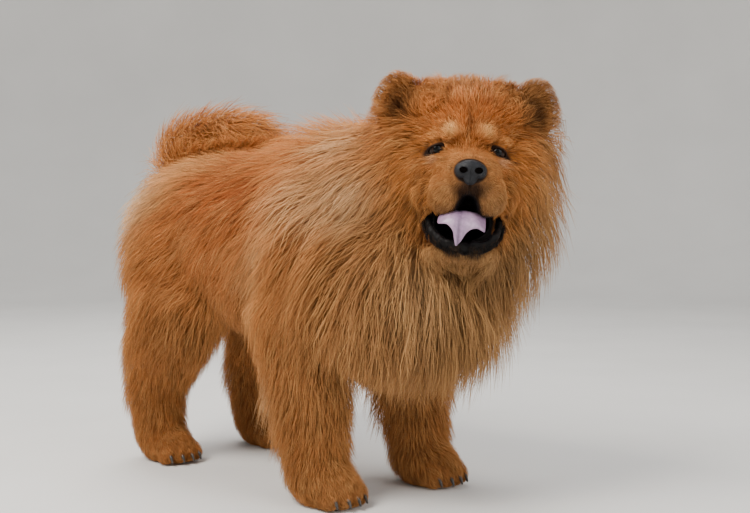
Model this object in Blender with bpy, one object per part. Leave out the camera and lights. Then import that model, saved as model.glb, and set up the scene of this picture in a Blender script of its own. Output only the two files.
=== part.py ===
"""Chow chow, a grown male standing still with its head turned to its right. Metres, +Z up; it faces -Y."""

import math
import random

import bmesh
import bpy
from mathutils import Matrix, Vector
from mathutils.bvhtree import BVHTree

# Driving sizes
PLAIN_COAT = False  # True: the coat as one smooth form out to the tips of the hair, with no locks
CORE_SHARE = 1.0 if PLAIN_COAT else 0.42  # how much of the coat's depth the core takes
GAP = 0.0003  # between touching nodes
WELD = 0.00002
SEED, DRAWS = 13, 8  # a node's locks are drawn again where two of them only graze
FIRST_DRAW = {"foreleg_right": 3}

LEG_X = 0.103  # feet, either side of the middle
FORE_Y = -0.200  # wrists and elbows
HIND_Y = 0.212  # hind feet
SPINE_Z = 0.368  # middle of the rib cage

EYES = Vector((-0.024, -0.430, 0.506))  # halfway between the eyeballs
HEAD_YAW, HEAD_PITCH, HEAD_ROLL = -41.0, 0.0, 3.0  # degrees
EYE_X, EYE_RADIUS = 0.041, 0.0112
LID = 0.0024  # thickness of the lids
NOSE_AT = Vector((0.0, -0.0715, -0.0265))

BODY_VOXEL, HEAD_VOXEL = 0.0065, 0.0038
BODY_TRIANGLES, HEAD_TRIANGLES = 2300, 7200  # of the whole fused form, before it is parted

# Flesh as limbs: x, y, z of each station, half width, half depth and the depth of the coat on it
TORSO = [
    (0, -0.265, 0.372, 0.100, 0.112, 0.052),
    (0, -0.180, SPINE_Z, 0.126, 0.132, 0.048),
    (0, -0.060, SPINE_Z, 0.131, 0.132, 0.043),
    (0, 0.060, SPINE_Z + 0.006, 0.122, 0.119, 0.043),
    (0, 0.160, SPINE_Z + 0.014, 0.118, 0.112, 0.045),
    (0, 0.232, SPINE_Z + 0.022, 0.098, 0.092, 0.050),
]
NECK = [
    (0, -0.140, 0.395, 0.098, 0.100, 0.045),
    (0, -0.225, 0.415, 0.095, 0.098, 0.054),
    (0.008, -0.290, 0.442, 0.086, 0.094, 0.056),
    (0.014, -0.345, 0.462, 0.074, 0.080, 0.045),
]
FORELEG = [
    (LEG_X, FORE_Y + 0.020, 0.275, 0.052, 0.066, 0.030),
    (LEG_X, FORE_Y + 0.012, 0.205, 0.043, 0.050, 0.028),
    (LEG_X, FORE_Y + 0.004, 0.130, 0.036, 0.037, 0.024),
    (LEG_X, FORE_Y - 0.004, 0.070, 0.034, 0.035, 0.016),
    (LEG_X, FORE_Y - 0.012, 0.036, 0.037, 0.040, 0.008),
]
HINDLEG = [
    (LEG_X - 0.006, HIND_Y - 0.056, 0.285, 0.055, 0.076, 0.034),
    (LEG_X, HIND_Y - 0.026, 0.205, 0.044, 0.054, 0.030),
    (LEG_X, HIND_Y + 0.010, 0.135, 0.033, 0.040, 0.024),
    (LEG_X, HIND_Y + 0.010, 0.075, 0.030, 0.033, 0.018),
    (LEG_X, HIND_Y - 0.002, 0.036, 0.034, 0.037, 0.008),
]
TAIL = [
    (0.000, 0.262, 0.455, 0.026, 0.028, 0.040),
    (0.000, 0.286, 0.490, 0.024, 0.024, 0.050),
    (0.004, 0.262, 0.522, 0.022, 0.020, 0.050),
    (0.010, 0.205, 0.537, 0.020, 0.018, 0.048),
    (0.016, 0.140, 0.536, 0.017, 0.015, 0.044),
    (0.020, 0.085, 0.526, 0.012, 0.010, 0.036),
]
# Flesh as balls: centre, radii and coat
CHEST = [(0.010, -0.262, 0.312, 0.112, 0.104, 0.108, 0.064)]
SHOULDER = [(0.088, -0.195, 0.335, 0.056, 0.078, 0.104, 0.040)]
THIGH = [(0.080, 0.172, 0.322, 0.062, 0.088, 0.112, 0.040)]
PAW_Z = 0.027
FORE_PAW = [(LEG_X, FORE_Y - 0.030, PAW_Z, 0.040, 0.050, 0.030, 0.004)]
HIND_PAW = [(LEG_X, HIND_Y - 0.022, PAW_Z - 0.001, 0.036, 0.047, 0.028, 0.004)]
TOE_SPREAD, TOE_REACH, TOE_SIZE = 0.0185, 0.041, 0.0145
SOLE_Z = 0.0

# Head, in its own frame: origin between the eyeballs, facing -Y, +Z up. The last column is the coat.
SKULL = [(0, 0.062, 0.028, 0.072, 0.068, 0.058, 0.018)]
BROW = [(0, 0.024, 0.030, 0.056, 0.030, 0.034, 0.007)]
CHEEK = [(0.056, 0.050, -0.034, 0.036, 0.042, 0.046, 0.026)]
EYE_BUMP = [(0.026, -0.004, 0.0235, 0.0145, 0.0125, 0.0125, 0.003)]
LID_FOLD = [(0.047, -0.0015, 0.0135, 0.0150, 0.0110, 0.0085, 0.002)]
UNDER_EYE = [(0.040, -0.004, -0.030, 0.026, 0.018, 0.022, 0.003)]
FLEW = [(0.0275, -0.040, -0.064, 0.0235, 0.027, 0.0285, 0.004)]
LIP_CORNER = [(0.043, -0.018, -0.066, 0.018, 0.026, 0.022, 0.004)]
RUFF = [(0, 0.080, -0.072, 0.082, 0.046, 0.096, 0.066)]
MUZZLE = [
    (0, 0.010, -0.026, 0.046, 0.034, 0.003),
    (0, -0.026, -0.032, 0.043, 0.029, 0.003),
    (0, -0.054, -0.036, 0.035, 0.026, 0.003),
]
JAW = [
    (0, 0.050, -0.118, 0.044, 0.030, 0.0),
    (0, 0.004, -0.117, 0.047, 0.029, 0.0),
    (0, -0.024, -0.118, 0.042, 0.023, 0.0),
    (0, -0.042, -0.120, 0.031, 0.016, 0.0),
]
MOUTH = [  # the hollow between the flews, under the palate
    (0, 0.012, -0.092, 0.032, 0.018),
    (0, -0.024, -0.094, 0.037, 0.021),
    (0, -0.050, -0.094, 0.026, 0.026),
    (0, -0.090, -0.098, 0.018, 0.032),
]
TONGUE = [
    (0.000, 0.016, -0.090, 0.020, 0.0060),
    (0.000, -0.022, -0.083, 0.023, 0.0040),
    (-0.002, -0.050, -0.082, 0.027, 0.0035),
    (-0.004, -0.064, -0.089, 0.029, 0.0033),
    (-0.006, -0.069, -0.099, 0.020, 0.0032),
    (-0.008, -0.071, -0.112, 0.011, 0.0030),
    (-0.009, -0.071, -0.125, 0.005, 0.0026),
]
NOSTRIL_X, NOSTRIL_RADIUS = 0.0105, 0.0052
EAR_BASE = Vector((0.084, 0.050, 0.046))
EAR_LEAN_OUT, EAR_LEAN_FORE, EAR_TURN = 14.0, 16.0, 14.0  # degrees
EAR = [  # up the ear, half width, half thickness
    (-0.024, 0.038, 0.022),
    (0.004, 0.042, 0.021),
    (0.028, 0.036, 0.016),
    (0.046, 0.024, 0.011),
    (0.057, 0.013, 0.008),
]
EAR_CUP_SHARE, EAR_CUP_FORE = 0.62, 0.0125

# Where the nodes part
HEAD_CUT = (Vector((0, 0.088, 0.040)), Vector((0, -0.885, 0.465)))  # in the head's frame
NECK_CUT = (Vector((0, -0.205, 0.400)), Vector((0, -0.80, 0.60)))
WAIST_CUT = (Vector((0, 0.060, 0.350)), Vector((0, -1, 0)))
FORELEG_REGION = [
    (LEG_X + 0.028, FORE_Y + 0.010, 0.235, 0.093, 0.100),
    (LEG_X + 0.028, FORE_Y + 0.010, 0.120, 0.093, 0.115),
    (LEG_X + 0.028, FORE_Y - 0.010, -0.06, 0.093, 0.125),
]
HINDLEG_REGION = [
    (LEG_X + 0.028, HIND_Y - 0.030, 0.290, 0.096, 0.108),
    (LEG_X + 0.028, HIND_Y - 0.010, 0.170, 0.096, 0.130),
    (LEG_X + 0.028, HIND_Y + 0.000, -0.06, 0.096, 0.130),
]

# Lie of the coat: place, direction, lock length, stand-off of the tip, and how freely it hangs,
# where 0 hugs the body
COAT = [
    ((0.000, -0.130, 0.520), (0, 1.0, 0.10), 0.095, 0.026, 0.2),
    ((0.000, 0.020, 0.505), (0, 1.0, 0.05), 0.090, 0.024, 0.1),
    ((0.000, 0.160, 0.500), (0, 1.0, 0.00), 0.085, 0.022, 0.1),
    ((0.135, -0.150, 0.420), (0.3, 0.8, -0.6), 0.105, 0.030, 0.2),
    ((0.150, -0.040, 0.360), (0.1, 0.8, -0.7), 0.095, 0.024, 0.1),
    ((0.140, 0.060, 0.330), (0.0, 0.8, -0.7), 0.090, 0.024, 0.1),
    ((0.120, -0.020, 0.250), (0.0, 0.6, -0.9), 0.085, 0.022, 0.2),
    ((0.000, 0.020, 0.235), (0, 1.0, -0.25), 0.075, 0.018, 0.1),
    ((0.140, 0.170, 0.400), (0.1, 0.8, -0.6), 0.090, 0.026, 0.1),
    ((0.135, 0.190, 0.290), (0.0, 0.6, -0.9), 0.090, 0.026, 0.2),
    ((0.060, 0.320, 0.360), (0.1, 0.6, -0.9), 0.105, 0.032, 0.3),
    ((0.090, 0.290, 0.230), (0.1, 0.6, -0.9), 0.080, 0.022, 0.2),
    ((0.000, -0.380, 0.330), (0, -0.3, -1.0), 0.105, 0.034, 0.3),
    ((0.070, -0.350, 0.250), (0.2, -0.1, -1.0), 0.095, 0.030, 0.3),
    ((0.000, -0.300, 0.210), (0, 0.3, -1.0), 0.080, 0.026, 0.5),
    ((0.130, -0.250, 0.330), (0.3, 0.4, -1.0), 0.105, 0.032, 0.3),
    ((0.120, -0.180, 0.230), (0.2, 0.5, -1.0), 0.085, 0.024, 0.15),
    ((0.100, -0.150, 0.150), (0.0, 0.6, -0.9), 0.065, 0.018, 0.15),
]
RUFF_COAT = (0.115, 0.038, 0.4)  # lock length, stand-off and freedom round the face
CHEEK_COAT = (0.080, 0.030, 0.35)
CROWN_COAT = (0.050, 0.012, 0.0)
TAIL_COAT = (0.090, 0.028, 0.1)
RUFF_REACH, RUFF_BLEND = 0.215, 0.06  # from the middle of the head
LOCK_WIDTH, LOCK_THICKNESS = 0.080, 0.014
LOCK_STEPS = 6
LOCK_SINK = 0.010
LOCK_PROFILE = (  # along, width, thickness
    (0.0, 0.70, 0.80),
    (0.36, 1.00, 1.00),
    (0.74, 0.70, 0.70),
)
LOCK_TRIES = (  # lift, share of the width and of the length
    (0.0, 1.0, 1.0),
    (0.007, 1.0, 1.0),
    (0.014, 0.9, 0.9),
    (0.004, 0.75, 0.75),
    (0.020, 0.8, 0.9),
)
ROOT_TRIES = {"head": 3600}  # 900 elsewhere
WIDTH_SHARE = {"tail": 0.8, "head": 0.65, "foreleg_left": 0.8, "foreleg_right": 0.8}
COVERED = 0.035  # no lock grows under a node this near above it
LOCK_FLOOR_Z = 0.018
SPACING = {  # between the roots of the locks on each node
    "hindleg_left": 0.056,
    "hindleg_right": 0.056,
    "foreleg_left": 0.054,
    "foreleg_right": 0.054,
    "torso_rear": 0.063,
    "tail": 0.048,
    "torso_front": 0.064,
    "neck": 0.060,
    "head": 0.041,
}

COLOURS = {  # base colour, roughness
    "coat": ((0.52, 0.235, 0.075), 0.85),
    "pale_coat": ((0.62, 0.37, 0.17), 0.85),
    "nose": ((0.035, 0.038, 0.045), 0.42),
    "lip": ((0.030, 0.026, 0.026), 0.50),
    "tongue": ((0.36, 0.27, 0.37), 0.45),
    "eye": ((0.020, 0.011, 0.007), 0.10),
}


def mirrored(rows):
    """Rows with those on the other side of the body, where they stand off the middle."""
    return [row for r in rows for row in ([r, (-r[0], *r[1:])] if abs(r[0]) > 1e-6 else [r])]


def flip(rows):
    return [(-r[0], *r[1:]) for r in rows]


def head_frame():
    yaw = Matrix.Rotation(math.radians(HEAD_YAW), 4, "Z")
    pitch = Matrix.Rotation(math.radians(HEAD_PITCH), 4, "X")
    roll = Matrix.Rotation(math.radians(HEAD_ROLL), 4, "Y")
    return Matrix.Translation(EYES) @ yaw @ pitch @ roll


HEAD = head_frame()


def new_object(name, verts, faces, place=None):
    mesh = bpy.data.meshes.new(name)
    mesh.from_pydata([tuple(v) for v in verts], [], faces)
    if place is not None:
        mesh.transform(place)
    mesh.validate()
    obj = bpy.data.objects.new(name, mesh)
    bpy.context.scene.collection.objects.link(obj)
    return obj


def smooth_value(values, t):
    """Catmull-Rom through equally spaced values, at t from 0 to 1."""
    span = min(int(t * (len(values) - 1)), len(values) - 2)
    u = t * (len(values) - 1) - span
    p0, p1 = values[max(span - 1, 0)], values[span]
    p2, p3 = values[span + 1], values[min(span + 2, len(values) - 1)]
    square = (2 * p0 - 5 * p1 + 4 * p2 - p3) * u**2
    cube = (3 * p1 - p0 - 3 * p2 + p3) * u**3
    return 0.5 * (2 * p1 + (p2 - p0) * u + square + cube)


def limb(stations, share=0.0, sides=20, per_span=4, cap=0.55, grow=0.0, place=None, side=Vector((1, 0, 0))):
    """A round-ended closed tube through stations (x, y, z, half width, half depth[, coat])."""
    count = (len(stations) - 1) * per_span + 1
    rings = []
    for i in range(count):
        row = [smooth_value([s[k] for s in stations], i / (count - 1)) for k in range(len(stations[0]))]
        coat = (row[5] if len(row) > 5 else 0.0) * share + grow
        rings.append((Vector(row[:3]), row[3] + coat, row[4] + coat))
    start, end = rings[0], rings[-1]
    ahead = (rings[1][0] - start[0]).normalized()
    beyond = (end[0] - rings[-2][0]).normalized()
    for k in (1, 2, 3):
        a = math.radians(90 * k / 3.4)
        back = start[0] - ahead * math.sin(a) * cap * min(start[1:])
        rings.insert(0, (back, start[1] * math.cos(a), start[2] * math.cos(a)))
        on = end[0] + beyond * math.sin(a) * cap * min(end[1:])
        rings.append((on, end[1] * math.cos(a), end[2] * math.cos(a)))
    verts, faces = [], []
    for i, (at, wide, deep) in enumerate(rings):
        run = rings[min(i + 1, len(rings) - 1)][0] - rings[max(i - 1, 0)][0]
        across = (side - run * side.dot(run) / run.length_squared).normalized()
        up = run.normalized().cross(across)
        for j in range(sides):
            a = 2 * math.pi * j / sides
            verts.append(at + across * wide * math.cos(a) + up * deep * math.sin(a))
    for i in range(len(rings) - 1):
        for j in range(sides):
            k = (j + 1) % sides
            faces.append((i * sides + j, i * sides + k, (i + 1) * sides + k, (i + 1) * sides + j))
    faces.append(tuple(range(sides))[::-1])
    faces.append(tuple(range(len(verts) - sides, len(verts))))
    obj = new_object("limb", verts, faces, place)
    face_outwards(obj)
    return obj


def face_outwards(obj):
    mesh = bmesh.new()
    mesh.from_mesh(obj.data)
    bmesh.ops.triangulate(mesh, faces=mesh.faces)
    bmesh.ops.recalc_face_normals(mesh, faces=mesh.faces)
    mesh.to_mesh(obj.data)
    mesh.free()


def ball(x, y, z, rx, ry, rz, place=None, segments=20, turn=None):
    mesh = bmesh.new()
    bmesh.ops.create_uvsphere(mesh, u_segments=segments, v_segments=segments * 5 // 8, radius=1.0)
    made = bpy.data.meshes.new("ball")
    mesh.to_mesh(made)
    mesh.free()
    shape = Matrix.Translation((x, y, z)) @ (turn or Matrix()) @ Matrix.Diagonal((rx, ry, rz, 1.0))
    made.transform((place or Matrix()) @ shape)
    obj = bpy.data.objects.new("ball", made)
    bpy.context.scene.collection.objects.link(obj)
    return obj


def balls(rows, share, place=None):
    return [ball(*r[:3], *[s + r[6] * share for s in r[3:6]], place=place) for r in mirrored(rows)]


def apply_modifiers(obj):
    graph = bpy.context.evaluated_depsgraph_get()
    made = bpy.data.meshes.new_from_object(obj.evaluated_get(graph))
    old = obj.data
    obj.modifiers.clear()
    obj.data = made
    bpy.data.meshes.remove(old)
    return obj


def remove(objects):
    for obj in objects:
        data = obj.data
        bpy.data.objects.remove(obj)
        if data.users == 0:
            bpy.data.meshes.remove(data)


def joined(name, objects):
    """One object with the faces of all, which may overlap."""
    mesh = bmesh.new()
    for obj in objects:
        mesh.from_mesh(obj.data)
    made = bpy.data.meshes.new(name)
    mesh.to_mesh(made)
    mesh.free()
    remove(objects)
    obj = bpy.data.objects.new(name, made)
    bpy.context.scene.collection.objects.link(obj)
    return obj


def fused(name, objects, voxel, smoothing, triangles):
    """Overlapping masses melted into one skin, softened where they meet, with about that many triangles."""
    obj = joined(name, objects)
    remesh = obj.modifiers.new("melt", "REMESH")
    remesh.mode, remesh.voxel_size = "VOXEL", voxel
    soften = obj.modifiers.new("soften", "SMOOTH")
    soften.factor, soften.iterations = 0.5, smoothing
    apply_modifiers(obj)
    keep_largest(obj)
    if triangles:
        thin = obj.modifiers.new("thin", "DECIMATE")
        thin.ratio = triangles / (2 * len(obj.data.polygons))
        apply_modifiers(obj)
    return obj


def keep_largest(obj):
    """Welds points that all but meet, then drops all but the largest surface."""
    mesh = bmesh.new()
    mesh.from_mesh(obj.data)
    bmesh.ops.remove_doubles(mesh, verts=mesh.verts, dist=WELD)
    bmesh.ops.dissolve_degenerate(mesh, edges=mesh.edges, dist=WELD)
    bmesh.ops.triangulate(mesh, faces=mesh.faces)
    left, shells = set(mesh.faces), []
    while left:
        front = [left.pop()]
        shell = list(front)
        while front:
            near = {n for e in front.pop().edges for n in e.link_faces if n in left}
            left -= near
            front += near
            shell += near
        shells.append(shell)
    shells.sort(key=len)
    bmesh.ops.delete(mesh, geom=[face for shell in shells[:-1] for face in shell], context="FACES")
    mesh.to_mesh(obj.data)
    mesh.free()


def copy_of(obj, name):
    twin = bpy.data.objects.new(name, obj.data.copy())
    bpy.context.scene.collection.objects.link(twin)
    return twin


def boolean(target, operation, *cutters, solver="EXACT"):
    """Joins, cuts or keeps the target by the cutters, which are used up."""
    group = bpy.data.collections.new("cutters")
    for cutter in cutters:
        group.objects.link(cutter)
    step = target.modifiers.new("step", "BOOLEAN")
    step.operation, step.solver = operation, solver
    if len(cutters) == 1:
        step.object = cutters[0]
    else:
        step.operand_type, step.collection = "COLLECTION", group
    apply_modifiers(target)
    bpy.data.collections.remove(group)
    remove(cutters)
    return target


def swollen(obj, by=GAP):
    """A copy grown along its normals, which cuts the seat for obj in a neighbour."""
    twin = copy_of(obj, "seat")
    grow = twin.modifiers.new("grow", "DISPLACE")
    grow.strength, grow.mid_level = by, 0.0
    return apply_modifiers(twin)


def half_space(cut, offset, place=None):
    """A large box on the side of the cut that its normal points to, starting that far along it."""
    at, normal = cut
    turn = normal.normalized().to_track_quat("Z", "Y").to_matrix().to_4x4()
    size = 1.2
    out = Matrix.Translation((0, 0, offset + size / 2))
    shape = Matrix.Translation(at) @ turn @ out @ Matrix.Diagonal((size, size, size, 1))
    mesh = bmesh.new()
    bmesh.ops.create_cube(mesh, size=1.0)
    made = bpy.data.meshes.new("half")
    mesh.to_mesh(made)
    mesh.free()
    made.transform((place or Matrix()) @ shape)
    obj = bpy.data.objects.new("half", made)
    bpy.context.scene.collection.objects.link(obj)
    return obj


def parted(obj, cut, ahead_name, behind_name, place=None):
    """The object in two along a plane: what lies ahead of it, and what lies behind."""
    behind = copy_of(obj, behind_name)
    obj.name = ahead_name
    boolean(obj, "INTERSECT", half_space(cut, GAP / 2, place))
    boolean(behind, "DIFFERENCE", half_space(cut, -GAP / 2, place))
    keep_largest(obj)
    keep_largest(behind)
    return obj, behind


def taken_out(body, region, name):
    """Cuts the region out of the body and returns that piece."""
    piece = copy_of(body, name)
    seat = swollen(region)
    boolean(piece, "INTERSECT", region)
    boolean(body, "DIFFERENCE", seat)
    keep_largest(piece)
    return piece


def toes(paw, share):
    """Four toes across the front of each paw, with the two in the middle further out."""
    made = []
    for x, y, z, *_ in mirrored(paw):
        for k in (-1.5, -0.5, 0.5, 1.5):
            ahead = TOE_REACH - 0.007 * (abs(k) - 0.5)
            size = TOE_SIZE + 0.003 * share
            made.append(ball(x + k * TOE_SPREAD, y - ahead, z - 0.009, size * 0.78, size * 1.15, size))
    return made


def body_masses(share):
    made = [limb(TORSO, share), limb(NECK, share)]
    for rows in (CHEST, SHOULDER, THIGH, FORE_PAW, HIND_PAW):
        made += balls(rows, share)
    for rows in (FORELEG, HINDLEG):
        made += [limb(rows, share), limb(flip(rows), share)]
    made += toes(FORE_PAW, share) + toes(HIND_PAW, share)
    made += balls(RUFF, share, HEAD)
    return made


def head_masses(share):
    """Short hair is all in the solid; the cheeks and the crown carry what the locks start from."""
    made = [limb(MUZZLE, 1.0, place=HEAD, cap=0.75)]
    for rows in (SKULL, BROW, EYE_BUMP, LID_FOLD, UNDER_EYE, FLEW, LIP_CORNER):
        made += balls(rows, 1.0, HEAD)
    made += balls(CHEEK, max(share, 0.6), HEAD)
    return made


def whole_form(name, share, voxel, triangles):
    masses = body_masses(share) + head_masses(share)
    obj = fused(name, masses, voxel, 5, triangles)
    below = half_space((Vector((0, 0, SOLE_Z)), Vector((0, 0, -1))), 0.0)
    return boolean(obj, "DIFFERENCE", below)


def eye_socket(head, side):
    """Lids as a thin shell round the eyeball, open along a slanted slit."""
    centre = Vector((side * EYE_X, 0, 0))
    slant = Matrix.Rotation(math.radians(side * 27), 4, "Y")
    face_out = Matrix.Rotation(math.radians(side * 14), 4, "Z")
    lids = ball(*centre, *[EYE_RADIUS + LID] * 3, place=HEAD, segments=16)
    boolean(head, "UNION", lids)
    socket = ball(*centre, *[EYE_RADIUS + GAP] * 3, place=HEAD, segments=16)
    boolean(head, "DIFFERENCE", socket)
    slit = ball(*(centre + face_out @ Vector((side * 0.001, -0.014, -0.0005))), 0.0112, 0.0115, 0.0052,
                place=HEAD, segments=14, turn=face_out @ slant)
    boolean(head, "DIFFERENCE", slit)


def eyes():
    return [
        ball(side * EYE_X, 0, 0, *[EYE_RADIUS] * 3, place=HEAD, segments=16)
        for side in (1, -1)
    ]


def ear(side):
    """A thick leaf with rounded tip, hollowed at the front."""
    out = Matrix.Rotation(math.radians(side * EAR_LEAN_OUT), 4, "Y")
    fore = Matrix.Rotation(math.radians(EAR_LEAN_FORE), 4, "X")
    turn = Matrix.Rotation(math.radians(side * EAR_TURN), 4, "Z")
    at = Matrix.Translation((side * EAR_BASE.x, EAR_BASE.y, EAR_BASE.z)) @ out @ fore @ turn
    leaf = limb([(0, 0, z, w, t) for z, w, t in EAR], sides=14, per_span=1, cap=0.8, place=HEAD @ at)
    plug = swollen(leaf)
    share = EAR_CUP_SHARE
    hollow = [(0, -EAR_CUP_FORE, z * 0.92 + 0.006, w * share, t * share) for z, w, t in EAR[1:]]
    cup = limb(hollow, sides=12, per_span=1, cap=0.8, place=HEAD @ at)
    boolean(leaf, "DIFFERENCE", cup)
    leaf.name = "ear_left" if side > 0 else "ear_right"
    return leaf, plug


def nose():
    x, y, z = NOSE_AT
    pad = [
        ball(x, y, z, 0.0205, 0.0105, 0.0125, place=HEAD),
        ball(x, y + 0.001, z - 0.008, 0.0115, 0.0095, 0.0130, place=HEAD),
        ball(0.0135, y + 0.001, z - 0.001, 0.0095, 0.0100, 0.0095, place=HEAD),
        ball(-0.0135, y + 0.001, z - 0.001, 0.0095, 0.0100, 0.0095, place=HEAD),
    ]
    obj = fused("nose", pad, 0.0013, 3, 260)
    plug = swollen(obj)
    wide = NOSTRIL_RADIUS
    for side in (1, -1):
        hole = [
            (side * NOSTRIL_X, y - 0.020, z - 0.002, wide, wide * 0.8),
            (side * NOSTRIL_X, y - 0.001, z - 0.001, wide * 0.8, wide * 0.6),
        ]
        slot = [
            (side * (NOSTRIL_X + 0.001), y - 0.014, z - 0.003, 0.0024, 0.0020),
            (side * (NOSTRIL_X + 0.013), y - 0.010, z - 0.008, 0.0024, 0.0020),
        ]
        boolean(obj, "DIFFERENCE", limb(hole, sides=10, per_span=2, place=HEAD))
        boolean(obj, "DIFFERENCE", limb(slot, sides=8, per_span=2, place=HEAD, side=Vector((0, 0, 1))))
    return obj, plug


def tongue():
    obj = limb(TONGUE, sides=10, per_span=1, cap=0.9, place=HEAD)
    obj.name = "tongue"
    return obj


def jaw():
    obj = limb(JAW, sides=14, per_span=1, cap=0.8, place=HEAD)
    obj.name = "lower_jaw"
    return obj


def painted(obj, slot):
    material = bpy.data.materials.get(slot)
    if material is None:
        material = bpy.data.materials.new(slot)
        material.use_nodes = True
        colour, roughness = COLOURS[slot]
        surface = material.node_tree.nodes["Principled BSDF"]
        surface.inputs["Base Color"].default_value = (*colour, 1.0)
        surface.inputs["Roughness"].default_value = roughness
        surface.inputs["Metallic"].default_value = 0.0
        material.diffuse_color = (*colour, 1.0)
    obj.data.materials.clear()
    obj.data.materials.append(material)


def tree_of(obj):
    obj.data.calc_loop_triangles()
    faces = [tuple(t.vertices) for t in obj.data.loop_triangles]
    return BVHTree.FromPolygons([v.co.copy() for v in obj.data.vertices], faces)


def toward_ruff(point):
    """0 on the body to 1 round the face."""
    near = (point - HEAD @ Vector((0, 0.05, -0.04))).length
    t = min(max((RUFF_REACH + RUFF_BLEND - near) / RUFF_BLEND, 0.0), 1.0)
    return t * t * (3 - 2 * t)


def ruff_lie(point):
    """Round the face the hair runs out from the head's axis and backwards, and falls below it."""
    local = HEAD.inverted() @ point
    out = Vector((local.x, 0.0, local.z + 0.035))
    out = out.normalized() if out.length > 0.02 else Vector((0, 0, -1))
    return (HEAD.to_3x3() @ (out * 0.75 + Vector((0, 0.60, -0.30)))).normalized()


def body_coat(point):
    """(direction, length, stand-off, freedom) of the coat there, blended from the guides around."""
    total, lie, sizes = 0.0, Vector(), [0.0, 0.0, 0.0]
    for at, direction, *rest in COAT:
        for side in (1, -1) if at[0] else (1,):
            near = (point - Vector((side * at[0], at[1], at[2]))).length
            weight = 1.0 / (near * near + 0.0012) ** 2
            total += weight
            lie += Vector((side * direction[0], direction[1], direction[2])).normalized() * weight
            sizes = [s + weight * r for s, r in zip(sizes, rest)]
    ruff = toward_ruff(point)
    lie = lie.normalized().lerp(ruff_lie(point), ruff).normalized()
    return lie, *[s / total * (1 - ruff) + r * ruff for s, r in zip(sizes, RUFF_COAT)]


def head_coat(point):
    """Long beside the cheeks, short and close over the crown."""
    crown = min(max((HEAD.inverted() @ point).z / 0.06, 0.0), 1.0)
    return ruff_lie(point), *[side + (top - side) * crown for side, top in zip(CHEEK_COAT, CROWN_COAT)]


def tail_coat(point):
    """Along the curl of the tail to its tip, and a little outwards."""
    stations = [Vector(row[:3]) for row in TAIL]
    bones = list(zip(stations, stations[1:]))
    near, far = min(bones, key=lambda bone: (bone[0].lerp(bone[1], 0.5) - point).length)
    return (far - near).normalized(), *TAIL_COAT


def lock_path(skin, root, normal, coat, lift):
    """Centres and normals down a lock, which rises to its stand-off and sags where it hangs free."""
    way, length, stand_off, freedom = coat
    step = length / LOCK_STEPS
    points, normals = [root - normal * LOCK_SINK], [normal]
    at = root.copy()
    for i in range(1, LOCK_STEPS + 1):
        t = i / LOCK_STEPS
        flat = (way - normal * way.dot(normal)).normalized()
        at = at + flat.lerp(way, freedom).normalized() * step
        foot, near, *_ = skin.find_nearest(at)
        height = (stand_off + lift) * t**0.7
        resting = foot + near * height
        at = resting.lerp(at, freedom if (at - foot).dot(near) > height else 0.0)
        normal = near.lerp(normal, 0.35).normalized()
        way = (way + Vector((0, 0, -0.08 - 0.3 * freedom))).normalized()
        at.z = max(at.z, LOCK_FLOOR_Z)
        points.append(at.copy())
        normals.append(normal.copy())
    return points, normals


def lock_mesh(points, normals, width, thickness, twist, grow=0.0):
    """A flat tapered lock with a low ridge along its top, as vertices and triangles."""
    verts, faces = [], []
    for share, wide, thick in LOCK_PROFILE:
        t = share * (len(points) - 1)
        k = min(int(t), len(points) - 2)
        at = points[k].lerp(points[k + 1], t - k)
        run = (points[k + 1] - points[max(k - 1, 0)]).normalized()
        up = normals[k].lerp(normals[k + 1], t - k)
        up = (up - run * up.dot(run)).normalized()
        across = (run.cross(up) + up * twist).normalized()
        w, h = width / 2 * wide + grow, thickness * thick + 2 * grow
        under = at - up * (0.3 * h)
        verts += [under - across * w, under + up * h, under + across * w]
    verts.append(points[-1] + (points[-1] - points[-2]).normalized() * grow)
    last, tip = len(verts) - 4, len(verts) - 1
    for i in range(0, last, 3):
        for j in range(3):
            a, b, c, d = i + j, i + (j + 1) % 3, i + 3 + (j + 1) % 3, i + 3 + j
            faces += [(a, b, c), (a, c, d)]
    faces += [(last + j, last + (j + 1) % 3, tip) for j in range(3)]
    faces.append((2, 1, 0))
    return verts, faces


def random_roots(obj, rng, count):
    """Points and normals spread by area over a node's surface."""
    obj.data.calc_loop_triangles()
    corners = [[obj.data.vertices[i].co for i in t.vertices] for t in obj.data.loop_triangles]
    areas = [(b - a).cross(c - a).length for a, b, c in corners]
    for a, b, c in rng.choices(corners, weights=areas, k=count):
        u, v = sorted((rng.random(), rng.random()))
        yield a * u + b * (v - u) + c * (1 - v), (b - a).cross(c - a).normalized()


def long_haired(name, point):
    """Where the coat is long: not on the face, round the ears or low on the legs."""
    if name == "head":
        local = HEAD.inverted() @ point
        ears = min((local - Vector((s * EAR_BASE.x, EAR_BASE.y, EAR_BASE.z))).length for s in (1, -1))
        face = local.y < 0.0 or math.hypot(local.x, local.z + 0.01) < 0.060
        mouth = local.z < -0.07 and abs(local.x) < 0.052
        return not face and not mouth and ears > 0.040
    if name.startswith("foreleg"):
        return point.z > (0.10 if point.y > FORE_Y else 0.15)
    if name.startswith("hindleg"):
        return point.z > (0.12 if point.y > HIND_Y - 0.02 else 0.17)
    return True


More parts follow.
